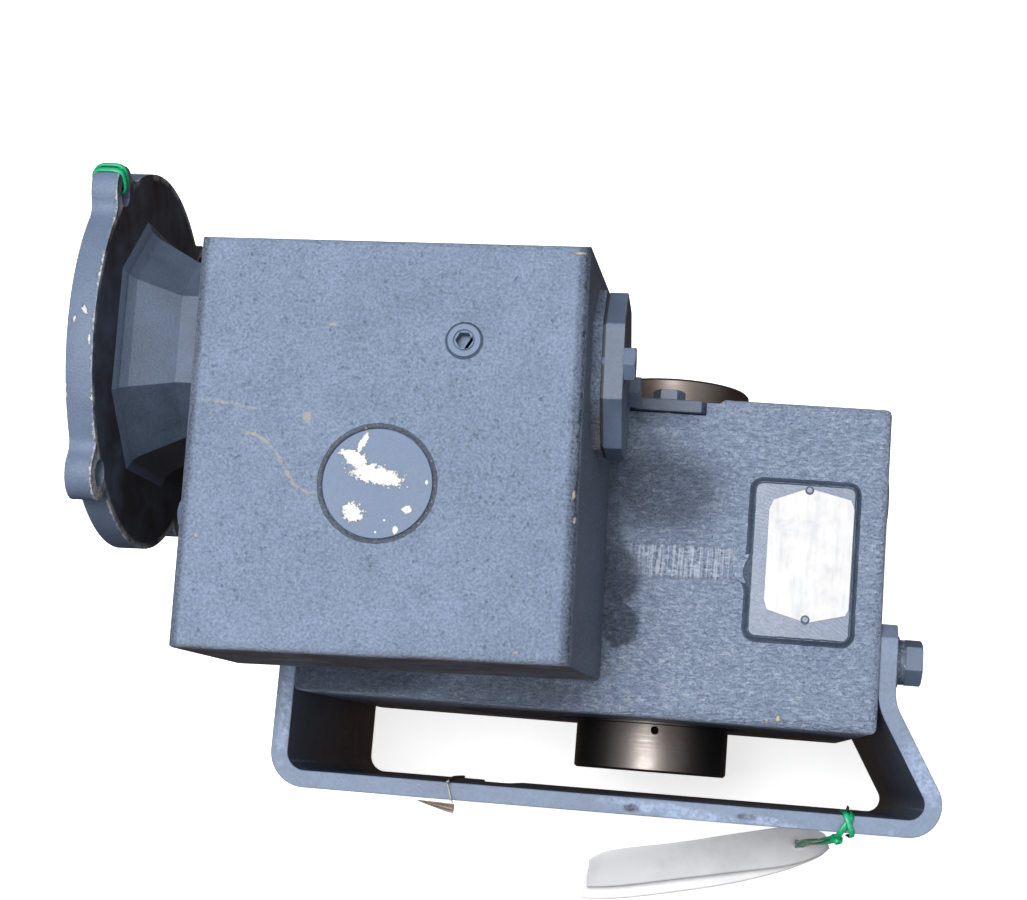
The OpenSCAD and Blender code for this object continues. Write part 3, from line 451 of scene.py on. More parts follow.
for u0, v0, z0, half_x, half_y, turn, ragged, grain in (
        (-0.1515, 0.079, 0.3205, 0.0011, 0.0030, 30, 2.6, 460),
        (-0.1480, 0.064, 0.3205, 0.0006, 0.0030, 0, 2.6, 460),
        (-0.1565, 0.074, 0.3205, 0.0007, 0.0026, 0, 2.6, 460),
        (-0.1530, 0.1555, 0.297, 0.0050, 0.0050, 0, 2.0, 520),
        (-0.1400, 0.0555, 0.272, 0.0035, 0.0006, -5, 2.0, 520)):
    chips.append(m.spot(tuple(sw(u0, v0, z0)), (half_x, half_y), turn, ragged, grain))
nx, ny, _ = m.xyz(m.normal)
behind = m.span(u, -0.1450, -0.1440)
# Painted shade: the flange's back face, turned towards +X, darkened nearly to black brown.
darkening = m.mul(m.mul(m.span(nx, 0.90, 0.97), m.span(u, -0.1440, -0.1450)),
              m.span(m.noise(26, 4, 0.6), 0.30, 0.60, 0.45, 0.95))
# Painted shade: faces of the body behind the rim turned towards -Y are darker.
m.shade = m.sub(m.shade, m.mul(m.mul(m.span(ny, -0.25, -0.6), behind), 0.20))
# Painted light and shade: the rim is lighter and the body behind it darker.
m.shade = m.sub(m.shade, m.span(behind, 0, 1, -0.12, 0.14))
finish_paint(m, m.most(chips), (0.46, 0.47, 0.49), darkening=darkening)

# Cap: smooth, with flaked paint
paint_cap = m = paint("paint_cap", 0.0013, 0.00020, rough=0.52, speckle=0.03, cloudy=0.03, gloss=0.28,
                      shade=-0.06)
flakes = m.patches(UPPER_TOP, [
    (-0.1513, 0.0312, 0.0018, 0.0062, -22, 1.5, 380),
    (-0.1553, 0.0228, 0.0078, 0.0044, -24, 1.5, 380),
    (-0.1428, 0.0145, 0.0148, 0.0052, -10, 1.5, 380),
    (-0.1532, -0.0056, 0.0060, 0.0046, -25, 1.5, 380),
    (-0.1251, -0.0025, 0.0026, 0.0020, 10, 1.0, 600),
    (-0.1303, -0.0134, 0.0015, 0.0020, 0, 1.0, 600),
    (-0.1365, -0.0087, 0.0006, 0.0006, 0, 0.4, 800),
    (-0.1406, -0.0152, 0.0006, 0.0006, 0, 0.4, 800),
    (-0.1162, 0.0125, 0.0008, 0.0012, 0, 0.6, 800),
])
finish_paint(m, flakes, (0.56, 0.56, 0.545))

# Bracket: nearly smooth, painted shade on its upright faces, scuffed, worn and lightened as a painted highlight
# along its upper edge
paint_plate = m = paint("paint_plate", 0.0022, 0.00050, rough=0.36, speckle=0.08, cloudy=0.08)
m.dye = 0.92
# Painted shade: upright faces darker, faces turned up a little lighter.
m.shade = m.add(m.shade, m.span(m.xyz(m.normal)[2], 0.3, 0.9, -0.42, 0.06))
# Wear and painted highlight: a band along the upper edge is lightened and chipped.
rub_and_sheen = m.mul(m.span(m.xyz(m.coords)[2], 0.1385, 0.1398), m.span(m.noise(70, 4, 0.7), 0.62, 0.70))
m.shade = m.add(m.shade, m.mul(rub_and_sheen, 0.35))
scuffs = m.patches(BRACKET_EDGE, [
    (0.0180, -0.1462, 0.0380, 0.0034, -4, 0.9, 170, 0.35),
    (0.0720, -0.1475, 0.0160, 0.0026, -4, 0.9, 170, 0.35),
    (-0.2115, -0.0950, 0.0034, 0.0420, 0, 0.9, 120, 0.4),
    (0.1590, -0.1150, 0.0060, 0.0190, 30, 0.9, 170, 0.35),
])
dull = m.patches(BRACKET_EDGE, [
    (-0.0050, -0.1462, 0.0048, 0.0022, 0, 0.8, 200, 0.4),
    (0.0610, -0.1462, 0.0060, 0.0018, 0, 0.8, 200, 0.4),
])
m.shade = m.add(m.shade, m.mul(m.mul(scuffs, m.span(m.noise(260, 5, 0.7), 0.40, 0.60)), 0.75))
m.shade = m.sub(m.shade, m.mul(dull, 0.90))
chips = m.most([
    m.mul(rub_and_sheen, m.span(m.noise(600, 4, 0.7), 0.60, 0.64)),
    m.patches(BRACKET_EDGE, [
        (-0.2110, -0.0560, 0.0012, 0.0016, 0, 1.0, 600),
        (0.1470, -0.0380, 0.0030, 0.0060, 0, 1.1, 420),
        (0.1560, -0.0700, 0.0022, 0.0100, 28, 1.1, 420),
    ]),
])
finish_paint(m, chips, (0.40, 0.43, 0.48))

# Painted shade: the covers and the fasteners take darker copies of the housing paint.
paint_cover = paint("paint_cover", 0.0014, 0.00030, rough=0.38, speckle=0.04, shade=-0.42)
finish_paint(paint_cover)
paint_bolt = paint("paint_fastener", 0.0012, 0.00012, rough=0.34, speckle=0.04, shade=-0.30)
finish_paint(paint_bolt)
# Painted shade: a much darker copy of the paint, for the pad's fillet and the ring round the filler plug.
groove_shade = paint("paint_groove_shade", 0.0012, 0.0004, rough=0.50, speckle=0.10, gloss=0.12, shade=-0.62)
finish_paint(groove_shade)
# Painted shade: a dark copy of the paint for the ring round the cap, with light specks.
bead_shade = m = paint("paint_bead_shade", 0.0011, 0.0005, rough=0.42, speckle=0.16, shade=-0.62)
finish_paint(m, m.span(m.noise(620, 4, 0.7), 0.56, 0.62), (0.24, 0.25, 0.22))
washer = m = paint("paint_washer", 0.0011, 0.0001, rough=0.34, speckle=0.06, shade=-0.36)
finish_paint(m, m.span(m.noise(420, 3, 0.6), 0.60, 0.66), (0.35, 0.36, 0.38))


# ---- metals, rubber, paper ----
def turned(name, colour, rough, marks, stain=None):
    """Turned or ground metal: fine rings across Y, faint cloudy tarnish."""
    m = Mat(name, colour, rough, 1.0)
    rings = m.noise(1.0, 4, 0.65, m.stretch((6.0, marks, 6.0)))
    cloud = m.noise(28, 4, 0.6)
    c = m.mix(m.span(cloud, 0.35, 0.7), (*colour, 1), (*[k * 0.72 for k in colour], 1))
    if stain:
        c = m.mix(m.span(m.noise(16, 5, 0.65), 0.48, 0.66), c, (*stain, 1))
    m.set("Base Color", m.mix(m.span(rings, 0.3, 0.7, 0.0, 0.35), c, (*[k * 0.6 for k in colour], 1)))
    dull = m.span(cloud, 0.3, 0.7, -0.02, 0.08)
    m.set("Roughness", m.add(m.span(rings, 0.3, 0.7, rough - 0.06, rough + 0.10), dull))
    m.set("Normal", m.bump(rings, 0.00004, 0.6))
    return m


steel = turned("machined_steel", (0.215, 0.192, 0.180), 0.36, 2600, stain=(0.17, 0.125, 0.10))
bearing = turned("bearing_steel", (0.62, 0.62, 0.63), 0.14, 1500)
bronze = turned("bronze", (0.50, 0.31, 0.11), 0.34, 900, stain=(0.34, 0.22, 0.10))


def simple(name, colour, rough, metal=0.0, grain=400, depth=0.0001, vary=0.15):
    """One colour with an even grain, varied a little in brightness."""
    m = Mat(name, colour, rough, metal)
    g = m.noise(grain, 4, 0.6)
    b = m.noise(grain / 12, 3, 0.6)
    value = m.add(m.span(g, 0.3, 0.7, -vary / 2, vary / 2), m.span(b, 0.3, 0.7, 1 - vary / 2, 1 + vary / 2))
    m.set("Base Color", m.valued(colour, value))
    m.set("Roughness", m.span(g, 0.3, 0.7, rough - 0.06, rough + 0.08))
    m.set("Normal", m.bump(g, depth))
    return m


dark = simple("black_fastener", (0.05, 0.05, 0.055), 0.42, 0.6, 900)
hub = simple("cast_hub", (0.13, 0.13, 0.135), 0.55, 0.5, 420, 0.0004)
rubber = simple("seal_rubber", (0.02, 0.02, 0.022), 0.55, 0.0, 700)
gasket = simple("gasket_sheet", (0.030, 0.032, 0.038), 0.7, 0.0, 1200)
rivet = simple("rivet_metal", (0.13, 0.15, 0.20), 0.45, 0.3, 900)

# Nameplate: faded, rubbed blank metal
plate = m = Mat("nameplate_metal", (0.80, 0.80, 0.81), 0.40)
wear = m.noise(1.0, 5, 0.65, m.stretch((260, 34, 1)))
cloud = m.noise(70, 5, 0.65)
tone = m.mix(m.span(wear, 0.50, 0.72), (0.450, 0.450, 0.455, 1), (0.36, 0.365, 0.385, 1))
tone = m.mix(m.span(cloud, 0.56, 0.74), tone, (0.385, 0.39, 0.41, 1))
m.set("Base Color", tone)
m.set("Roughness", m.span(cloud, 0.3, 0.7, 0.28, 0.5))
m.set("Normal", m.bump(wear, 0.00003))


def paper_sheet(name, clean, soiled):
    """Paper: slightly mottled, soft creases."""
    m = Mat(name, (0.88, 0.88, 0.87), 0.6)
    fibre = m.noise(1600, 3, 0.6)
    soil = m.noise(32, 5, 0.65)
    m.set("Base Color", m.mix(m.span(soil, 0.50, 0.80), (*clean, 1), (*soiled, 1)))
    m.set("Roughness", m.span(fibre, 0.3, 0.7, 0.5, 0.65))
    m.set("Normal", m.bump(m.add(fibre, m.mul(m.noise(60, 2, 0.5), 6.0)), 0.00005))
    return m


paper = paper_sheet("tag_paper", (0.60, 0.605, 0.635), (0.47, 0.48, 0.51))
# Painted light: the lower leaf takes a lighter copy of the same paper.
paper_lit = paper_sheet("tag_paper_lower_lit", (0.80, 0.805, 0.82), (0.66, 0.665, 0.69))

green = simple("green_tie", (0.008, 0.30, 0.13), 0.34, 0.0, 900, 0.0001, 0.25)
clear = simple("clear_tie", (0.40, 0.38, 0.34), 0.28, 0.0, 700, 0.0001, 0.3)
# Painted shade: a dark copy of the clear tie, for the flap, standing in for the shade seen through it.
clear_shaded = simple("clear_tie_flap", (0.13, 0.10, 0.08), 0.30, 0.0, 900, 0.0002, 0.9)

# The material of each slot, and of the nodes that don't take their slot's
USE = {
    "painted_casting": paint_a, "painted_plate": paint_plate, "painted_fastener": paint_bolt,
    "plated_washer": washer, "machined_steel": steel, "bearing_steel": bearing,
    "black_fastener": dark, "cast_hub": hub, "bronze": bronze, "seal_rubber": rubber,
    "gasket_sheet": gasket, "nameplate_metal": plate, "rivet_metal": rivet,
    "tag_paper": paper, "green_tie": green, "clear_tie": clear,
}
OWN = {
    "secondary_housing": paint_b, "motor_adapter": paint_m,
    "sealing_cap": paint_cap, "oil_filler_plug": paint_cap,
    "input_end_cover": paint_cover, "output_cover_upper": paint_cover, "output_cover_lower": paint_cover,
}
slot_of = {s["node"]: s["material_slot"] for s in frame["record"]["subparts"]}
for name, obj in nodes.items():
    obj.data.materials.clear()
    obj.data.materials.append((OWN.get(name) or USE[slot_of[name]]).mat)


# Small rounded edges on the CAD nodes, in metres
SOFT = {
    "primary_housing": 0.0024, "motor_adapter": 0.0012, "torque_bracket": 0.0012, "input_end_cover": 0.0009,
    "output_cover_upper": 0.0008, "output_cover_lower": 0.0008, "bracket_bolts": 0.0006,
    "input_cover_bolts": 0.0005, "output_cover_bolts": 0.0005, "bracket_flat_washers": 0.0004,
    "bracket_spring_washers": 0.0003, "sealing_cap": 0.0004, "oil_filler_plug": 0.0003,
    "side_level_plug": 0.0004, "drain_plugs": 0.0004, "nameplate": 0.0002,
}
for name, width in SOFT.items():
    modifiers = nodes[name].modifiers
    weld = modifiers.new("weld", "WELD")
    weld.merge_threshold = 0.00001
    planes = modifiers.new("planes", "DECIMATE")
    planes.decimate_type = "DISSOLVE"
    planes.angle_limit = math.radians(0.3)
    edges = modifiers.new("edges", "BEVEL")
    edges.width = width
    edges.segments = 2
    edges.limit_method = "ANGLE"
    edges.angle_limit = math.radians(30)


# ---- pieces ----
TIE_SIDES = 8


def make(name, verts, faces, mat, body="housing", smooth=True, replaces=(), slot=None):
    """Builds one piece from points and faces, gives it its material and its body."""
    data = bpy.data.meshes.new(name)
    data.from_pydata([tuple(v) for v in verts], [], faces)
    data.validate()
    bm = bmesh.new()
    bm.from_mesh(data)
    bmesh.ops.recalc_face_normals(bm, faces=bm.faces)
    bm.to_mesh(data)
    bm.free()
    data.materials.append(mat.mat)
    for p in data.polygons:
        p.use_smooth = smooth
    o = bpy.data.objects.new(name, data)
    scene.collection.objects.link(o)
    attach(o, body)
    if replaces:
        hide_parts(*replaces)
    return o


def curve_through(points, closed, steps=8):
    """Catmull-Rom points through the given ones."""
    p = [Vector(q) for q in points]
    n = len(p)
    out = []
    for i in range(n if closed else n - 1):
        a, b, c, d = [p[(i + k) % n] if closed else p[min(max(i + k, 0), n - 1)] for k in (-1, 0, 1, 2)]
        for j in range(steps):
            t = j / steps
            square, cube = 2 * a - 5 * b + 4 * c - d, 3 * b - 3 * c + d - a
            out.append(0.5 * ((2 * b) + (c - a) * t + square * t * t + cube * t ** 3))
    if not closed:
        out.append(p[-1])
    return out


def sweep(points, half_wide, half_thick, up, closed=False, turns=0.0):
    """A flat tie along the points: up is where its broad side faces at first, turns is its whole twist."""
    path = curve_through(points, closed)
    n = len(path)
    verts, faces = [], []
    normal = Vector(up)
    for i, q in enumerate(path):
        ahead = path[(i + 1) % n] if closed or i < n - 1 else q
        behind = path[i - 1] if closed or i else q
        t = (ahead - behind).normalized()
        normal = (normal - normal.dot(t) * t).normalized()
        side = t.cross(normal)
        roll = turns * math.tau * i / n
        a = normal * math.cos(roll) + side * math.sin(roll)
        b = t.cross(a)
        for k in range(TIE_SIDES):
            g = math.tau * k / TIE_SIDES
            cx, cy = math.cos(g), math.sin(g)
            cx = math.copysign(abs(cx) ** 0.7, cx) * half_wide
            cy = math.copysign(abs(cy) ** 0.8, cy) * half_thick
            verts.append(q + b * cx + a * cy)
    for i in range(n if closed else n - 1):
        here, there = i * TIE_SIDES, (i + 1) % n * TIE_SIDES
        for k in range(TIE_SIDES):
            after = (k + 1) % TIE_SIDES
            faces.append((here + k, here + after, there + after, there + k))
    if not closed:
        faces.append(tuple(range(TIE_SIDES)))
        faces.append(tuple(range((n - 1) * TIE_SIDES, n * TIE_SIDES)))
    return verts, faces


def joined(parts):
    """Several meshes' points and faces as one."""
    verts, faces = [], []
    for v, f in parts:
        faces += [tuple(i + len(verts) for i in g) for g in f]
        verts += list(v)
    return verts, faces


def wobble(q, size, amount):
    """A small even roughness for hand-made edges."""
    return amount * noise.noise(Vector(q) / size)


def rings_to_mesh(rings):
    """Closed rings of equal length, joined in order."""
    n = len(rings[0])
    verts = [q for ring in rings for q in ring]
    faces = [(r * n + k, r * n + (k + 1) % n, (r + 1) * n + (k + 1) % n, (r + 1) * n + k)
             for r in range(len(rings) - 1) for k in range(n)]
    return verts, faces


# Fillet round the raised pad under the nameplate, with the gate mark on its left side, painted dark as painted
# shade in the recess
PAD_X, PAD_Y, PAD_CORNER = (0.0543, 0.1129), (-0.0440, 0.0463), 0.0048
PAD_CORNER_STEP, PAD_SIDE_STEPS = 11.25, 40
GATE_Y, GATE_HALF = -0.0070, 0.0125


def pad_ring(grow, z, bulge):
    """One ring of the fillet, grown from the pad's outline and bulged out at the gate mark."""
    x0, x1, y0, y1, r = PAD_X[0] - grow, PAD_X[1] + grow, PAD_Y[0] - grow, PAD_Y[1] + grow, PAD_CORNER + grow
    corners = []
    for cx, cy, start in ((x1 - r, y1 - r, 0), (x0 + r, y1 - r, 90),
                          (x0 + r, y0 + r, 180), (x1 - r, y0 + r, 270)):
        angles = [math.radians(start + k * PAD_CORNER_STEP) for k in range(9)]
        corners.append([Vector((cx + r * math.cos(g), cy + r * math.sin(g), z)) for g in angles])
    out = []
    for i, part in enumerate(corners):
        nxt = corners[(i + 1) % 4][0]
        out += part
        out += [part[-1].lerp(nxt, j / PAD_SIDE_STEPS) for j in range(1, PAD_SIDE_STEPS)]
    for q in out:
        if q.x < PAD_LEFT:
            t = (q.y - GATE_Y) / GATE_HALF
            if abs(t) < 1:
                q.x -= bulge * math.cos(t * math.pi / 2) ** 2
        q.x += wobble(q, 0.004, 0.00030)
        q.y += wobble(q + Vector((9, 9, 9)), 0.004, 0.00030)
    return out


fillet = [pad_ring(*row) for row in (
    (-0.0010, 0.14856, 0.0), (-0.0002, 0.14856, 0.0030), (0.0004, 0.14825, 0.0034), (0.0010, 0.14745, 0.0036),
    (0.0016, 0.14665, 0.0038), (0.0024, 0.14615, 0.0040), (0.0034, 0.14590, 0.0042))]
make("nameplate_pad_fillet", *rings_to_mesh(fillet), groove_shade, slot="painted_casting")


# Ridges of paint round the cap and the filler plug, both painted dark as painted shade in the joints
def bead_ring(centre, profile, count, rough):
    """A rough ring of paint. profile is radius and height, from the inside out."""
    rings = []
    for r, z in profile:
        ring = []
        for k in range(count):
            g = math.tau * k / count
            d = Vector((math.cos(g), math.sin(g), 0))
            q = Vector((*centre, 0)) + d * r
            rise = wobble(q + Vector((5, 5, 5)), 0.003, rough * 0.35)
            ring.append(q + d * wobble(q, 0.003, rough) + Vector((0, 0, z + rise)))
        rings.append(ring)
    return rings_to_mesh(rings)


cap_bead = bead_ring(SWING_CENTRE, (
    (0.0292, 0.2863), (0.0295, 0.28665), (0.0299, 0.28672), (0.0303, 0.28695),
    (0.0307, 0.28705), (0.0311, 0.28695), (0.0315, 0.28690), (0.0318, 0.2866)), 180, 0.00035)
plug_bead = bead_ring((-0.1032, 0.0881), (
    (0.0082, 0.2870), (0.0089, 0.28725), (0.0094, 0.28712), (0.0099, 0.28695), (0.0103, 0.2866)), 90, 0.00018)
make("cap_joint_bead", *cap_bead, bead_shade, slot="painted_casting")
make("plug_joint_bead", *plug_bead, groove_shade, slot="painted_casting")


# Cast web closing the slot between the notch under the upper cover tab and the gear case
web_bottom, notch_floor, web_top = 0.1282, 0.1290, 0.1342
plan = [(-0.0190, 0.0730), (0.0190, 0.0730), (0.0190, 0.0781), (0.0176, 0.0781), (0.0150, 0.0781),
        (-0.0150, 0.0781), (-0.0176, 0.0781), (-0.0190, 0.0781)]
notch = [(0.0150, 0.0755), (-0.0150, 0.0755)]
web = [Vector((*p, web_bottom)) for p in plan] + [Vector((*p, notch_floor)) for p in plan + notch]
web += [Vector((*p, web_top)) for p in plan[:4] + notch + plan[6:]]
web_faces = [tuple(range(8)), tuple(range(18, 26)), (11, 12, 13, 14, 17, 16),
             (11, 16, 22, 21), (16, 17, 23, 22), (17, 14, 24, 23), (14, 15, 25, 24),
             (15, 8, 18, 25), (8, 9, 19, 18), (9, 10, 20, 19), (10, 11, 21, 20)]
web_faces += [(k, (k + 1) % 8, (k + 1) % 8 + 8, k + 8) for k in range(8)]
make("case_notch_web", web, web_faces, paint_b, smooth=False, slot="painted_casting")


# Two paper leaves, each curled over its upper edge, with the eyelet end to the right
EYELET_RADIUS = 0.0024
PAPER_THICKNESS = 0.00035
LEAF_STEPS = 5


def leaf(name, crest, edge, drop, sag, replaced, mat, hole=None):
    """A leaf between its crest and its lower edge: drop is how far it hangs behind the crest, sag its dip."""
    crest, edge = curve_through(crest, False, 7), curve_through(edge, False, 7)
    rows = []
    for i, (c, e) in enumerate(zip(crest, edge)):
        width = (e - c).length
        under = c + Vector((-0.001, -0.0045, -drop)) * (0.35 + 0.65 * min(1.0, width / 0.02))
        bend = c + Vector((0, -0.0004, -0.006))
        mid = c.lerp(e, 0.5) + Vector((0, -0.001, -sag + wobble((i * 0.4, 3, 1), 1, 0.0015)))
        rows.append(curve_through([under, bend, c, mid, e], False, LEAF_STEPS))
    verts = [q for row in rows for q in row]
    n = len(rows[0])
    faces = []
    for i in range(len(rows) - 1):
        for k in range(n - 1):
            mid = (rows[i][k] + rows[i + 1][k + 1]) / 2
            past_crest = k >= 2 * LEAF_STEPS
            if hole and past_crest and (mid.xy - Vector(hole)).length < EYELET_RADIUS:
                continue
            faces.append((i * n + k, i * n + k + 1, (i + 1) * n + k + 1, (i + 1) * n + k))
    o = make(name, verts, faces, mat, replaces=(replaced,), slot="tag_paper")
    solid = o.modifiers.new("thickness", "SOLIDIFY")
    solid.thickness = PAPER_THICKNESS


leaf("tag_leaf_front",
     [(-0.0322, -0.1822, 0.044), (-0.0178, -0.1755, 0.044), (0.0221, -0.1676, 0.044), (0.0611, -0.1585, 0.044),
      (0.0903, -0.1526, 0.044), (0.1099, -0.1540, 0.044), (0.1140, -0.1608, 0.044)],
     [(-0.0333, -0.1997, 0.030), (-0.0132, -0.1974, 0.030), (0.0234, -0.1900, 0.030), (0.0629, -0.1820, 0.030),
      (0.0918, -0.1759, 0.030), (0.1094, -0.1686, 0.030), (0.1159, -0.1631, 0.032)],
     0.046, 0.0008, "paper_tag_front", paper, hole=(0.0968, -0.1620))
leaf("tag_leaf_back",
     [(-0.0350, -0.1900, 0.030), (-0.0178, -0.1840, 0.030), (0.0221, -0.1750, 0.030), (0.0611, -0.1660, 0.030),
      (0.0880, -0.1610, 0.030), (0.1050, -0.1600, 0.030), (0.1110, -0.1620, 0.030)],
     [(-0.0362, -0.2074, 0.021), (-0.0136, -0.2056, 0.020), (0.0237, -0.1983, 0.019), (0.0600, -0.1895, 0.019),
      (0.0895, -0.1795, 0.020), (0.1070, -0.1712, 0.022), (0.1130, -0.1670, 0.024)],
     0.030, 0.0005, "paper_tag_back", paper_lit)

# Green tie: once round the whole bracket, crossed over its front edge, then down to the eyelet
y_in, y_out, z_end = -0.1392, -0.1516, 0.1408
loop_a = sweep([
    (0.1170, y_in, z_end - 0.004), (0.1176, y_in - 0.002, z_end + 0.0008), (0.1165, -0.1450, z_end + 0.0013),
    (0.1152, y_out + 0.002, z_end + 0.0008), (0.1150, y_out, z_end - 0.004), (0.1205, y_out, 0.06),
    (0.1320, y_out, -0.08), (0.1372, y_out, -z_end + 0.004), (0.1376, y_out + 0.002, -z_end - 0.0008),
    (0.1378, -0.1450, -z_end - 0.0012), (0.1380, y_in - 0.002, -z_end - 0.0008), (0.1380, y_in, -z_end + 0.004),
    (0.1330, y_in, -0.06), (0.1222, y_in, 0.08)], 0.0017, 0.00055, (0, 1, 0), closed=True)
loop_b = sweep([
    (0.1130, -0.1535, 0.1385), (0.1140, y_out + 0.0012, z_end + 0.0012), (0.1175, -0.1450, z_end + 0.0024),
    (0.1198, y_in - 0.0020, z_end + 0.0012), (0.1205, y_in + 0.0002, z_end - 0.008),
    (0.1196, y_in + 0.0003, 0.110)], 0.0018, 0.0006, (0, 0, 1))
loop_c = sweep([
    (0.1205, y_out - 0.0004, 0.112), (0.1206, y_out - 0.0006, 0.1380), (0.1204, y_out + 0.0016, z_end + 0.0016),
    (0.1190, -0.1465, z_end + 0.0030), (0.1164, -0.1400, z_end + 0.0018), (0.1160, y_in + 0.0004, z_end - 0.008),
    (0.1160, y_in + 0.0004, 0.112)], 0.0016, 0.0006, (0, 0, 1))
knot = sweep([
    (0.1150, -0.1530, 0.1350), (0.1125, -0.1552, 0.1375), (0.1102, -0.1545, 0.1345), (0.1108, -0.1524, 0.1320),
    (0.1135, -0.1528, 0.1335), (0.1146, -0.1550, 0.1360), (0.1120, -0.1562, 0.1345)], 0.0016, 0.0008, (0, 0, 1))
tail_a = sweep([
    (0.1130, -0.1545, 0.1345), (0.1085, -0.1568, 0.1200), (0.1040, -0.1590, 0.0900), (0.1000, -0.1606, 0.0620),
    (0.0972, -0.1618, 0.0440), (0.0966, -0.1622, 0.0360), (0.0975, -0.1612, 0.0300)],
    0.0014, 0.0006, (0, 0, 1), turns=0.8)
tail_b = sweep([
    (0.1115, -0.1532, 0.1335), (0.1062, -0.1555, 0.1160), (0.1020, -0.1575, 0.0880), (0.0992, -0.1592, 0.0600),
    (0.0976, -0.1608, 0.0440), (0.0962, -0.1616, 0.0380)], 0.0013, 0.0006, (0, 0, 1), turns=-0.8)
make("tag_tie_strands", *joined([loop_a, loop_b, loop_c, knot, tail_a, tail_b]), green,
     replaces=("tag_tie",), slot="green_tie")

# Thin clear tie round the bracket, with its loose flap below the front edge, coloured dark as painted shade seen
# through it
y_in, y_out = -0.1396, -0.1512
strand = sweep([
    (-0.1118, y_in, 0.1380), (-0.1115, y_in - 0.0015, 0.1411), (-0.1100, -0.1455, 0.1416),
    (-0.1087, y_out + 0.001, 0.1410), (-0.1086, y_out - 0.0002, 0.1370), (-0.1230, y_out - 0.0002, 0.04),
    (-0.1370, y_out - 0.0002, -0.08), (-0.1380, y_out - 0.0002, -0.1380), (-0.1380, -0.1500, -0.1413),
    (-0.1380, -0.1410, -0.1413), (-0.1380, y_in, -0.1380), (-0.1370, y_in, -0.08), (-0.1240, y_in, 0.04)],
    0.0009, 0.00035, (0, 1, 0), closed=True)
FLAP_ROWS, FLAP_COLUMNS = 12, 4
flap = []
for i in range(FLAP_ROWS + 1):
    t = i / FLAP_ROWS
    x, y = -0.1290 + 0.0215 * t, -0.1520 - 0.0006 * t
    half = 0.0005 + 0.0046 * min(1.0, t * 1.15) ** 0.9
    for k in range(FLAP_COLUMNS + 1):
        across = k / FLAP_COLUMNS
        sag = 0.0018 * math.sin(math.pi * across)
        flap.append(Vector((x, y - half * across, 0.1360 - sag - 0.002 * (1 - t))))
flap_faces = [(q, q + 1, q + FLAP_COLUMNS + 2, q + FLAP_COLUMNS + 1)
              for q in range(len(flap) - FLAP_COLUMNS - 2) if q % (FLAP_COLUMNS + 1) < FLAP_COLUMNS]
make("clear_tie_strand", *strand, clear, replaces=("clear_tie",), slot="clear_tie")
o = make("clear_tie_flap", flap, flap_faces, clear_shaded, slot="clear_tie")
o.modifiers.new("thickness", "SOLIDIFY").thickness = 0.0004


# Green tie over the flange's upper lobe, through its hole
def lobe(u, r, t):
    """A point at radius r from the input axis towards the upper lobe, t to its side, u along the axis."""
    c = math.sqrt(0.5)
    return sw(u, INPUT_AXIS[0] + (r - t) * c, INPUT_AXIS[1] + (r + t) * c)


def lobe_loop(t, slack, lean):
    """One strand over the lobe: slack lifts its crown, lean carries it sideways."""
    pts = [(-0.1530, 0.1085, 0), (-0.1590, 0.1087, 0), (-0.1609, 0.1112, 0.3), (-0.1612, 0.1165, 0.7),
           (-0.1605, 0.1205, 0.9), (-0.1575, 0.1222 + slack, 1), (-0.1530, 0.1225 + slack, 1),
           (-0.1484, 0.1222 + slack, 1), (-0.1452, 0.1206, 0.9), (-0.1444, 0.1165, 0.6), (-0.1448, 0.1112, 0.3),
           (-0.1470, 0.1087, 0)]
    outward = lobe(0, 1, 0) - lobe(0, 0, 0)
    return sweep([lobe(u, r, t + lean * k) for u, r, k in pts], 0.0017, 0.0008, outward, closed=True)


make("flange_tie_strands", *joined([lobe_loop(0.0014, 0.0000, 0.0008), lobe_loop(-0.0018, 0.0003, -0.0010)]),
     green, replaces=("flange_tie",), slot="green_tie")

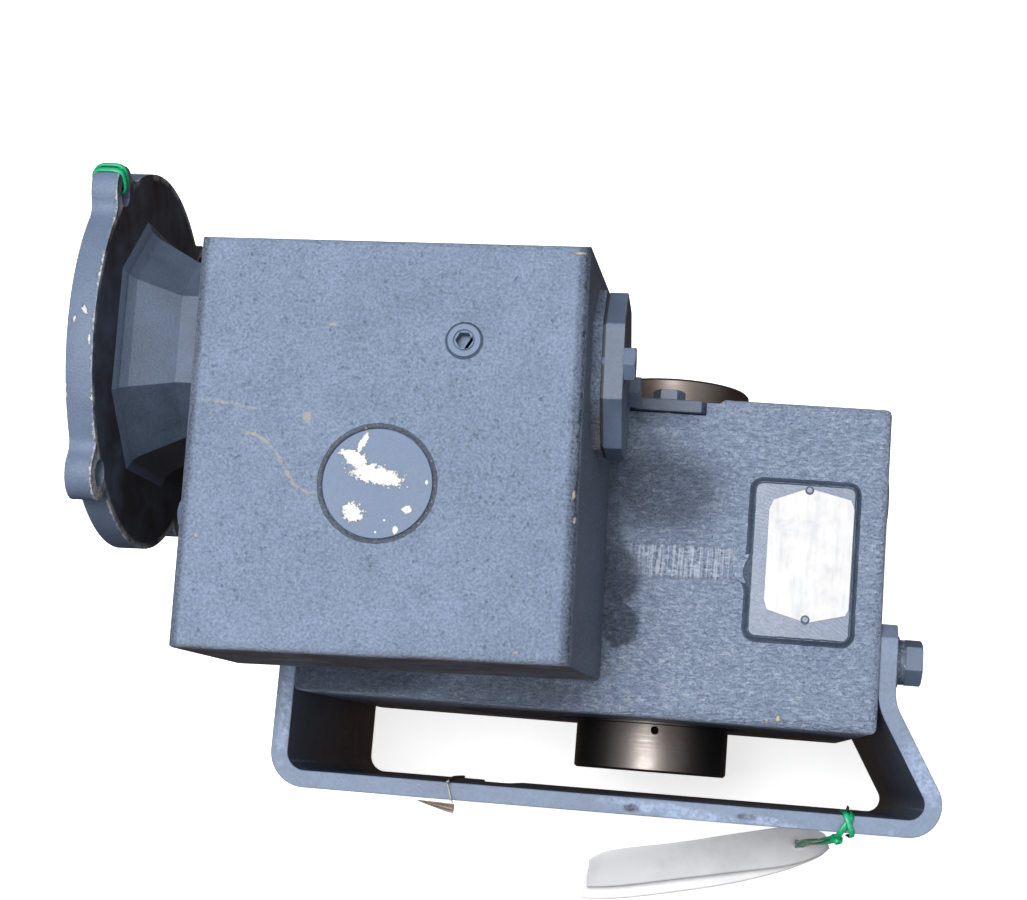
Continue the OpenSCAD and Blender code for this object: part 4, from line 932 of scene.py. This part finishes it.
# ---- floor, lights ----
mesh = bpy.data.meshes.new("floor")
corners = [(x * FLOOR_REACH, y * FLOOR_REACH, FLOOR_LEVEL) for x, y in ((-1, -1), (1, -1), (1, 1), (-1, 1))]
mesh.from_pydata(corners, [], [(0, 1, 2, 3)])
floor = bpy.data.objects.new("floor", mesh)
scene.collection.objects.link(floor)
pale = Mat("floor", (0.86, 0.86, 0.86), 0.9)
pale.set("Specular IOR Level", 0.0)
pale.set("Emission Color", (1, 1, 1, 1))
pale.set("Emission Strength", 0.72)
mesh.materials.append(pale.mat)
floor.visible_glossy = False
floor.visible_diffuse = False

# Studio light all round: dim brown below, grey at the horizon, white overhead
world = bpy.data.worlds.new("studio")
scene.world = world
world.use_nodes = True
tree = world.node_tree
tree.nodes.clear()
place, split, height, ramp, light, out = [tree.nodes.new("ShaderNode" + kind) for kind in (
    "TexCoord", "SeparateXYZ", "MapRange", "ValToRGB", "Background", "OutputWorld")]
height.inputs["From Min"].default_value = -1
height.inputs["From Max"].default_value = 1
low, high = ramp.color_ramp.elements
low.position, low.color = 0.25, (0.070, 0.044, 0.031, 1)
high.position, high.color = 0.93, (1.0, 1.0, 1.0, 1)
ramp.color_ramp.elements.new(0.56).color = (0.080, 0.070, 0.068, 1)
light.inputs["Strength"].default_value = 0.9
for a, b in ((place.outputs["Generated"], split.inputs[0]), (split.outputs["Z"], height.inputs["Value"]),
             (height.outputs[0], ramp.inputs[0]), (ramp.outputs[0], light.inputs[0]),
             (light.outputs[0], out.inputs[0])):
    tree.links.new(a, b)


def area(name, loc, target, size, power):
    """A square soft light of the given side, aimed at the target."""
    d = bpy.data.lights.new(name, "AREA")
    d.size = size
    d.energy = power
    o = bpy.data.objects.new(name, d)
    o.location = loc
    o.rotation_euler = (Vector(target) - Vector(loc)).to_track_quat("-Z", "Y").to_euler()
    scene.collection.objects.link(o)


area("key", (-0.30, 0.26, 2.3), (0, 0, 0), 0.8, 45)
area("fill", (-0.25, -0.10, 2.6), (0, 0, 0), 1.2, 16)
scene.view_settings.view_transform = "Standard"
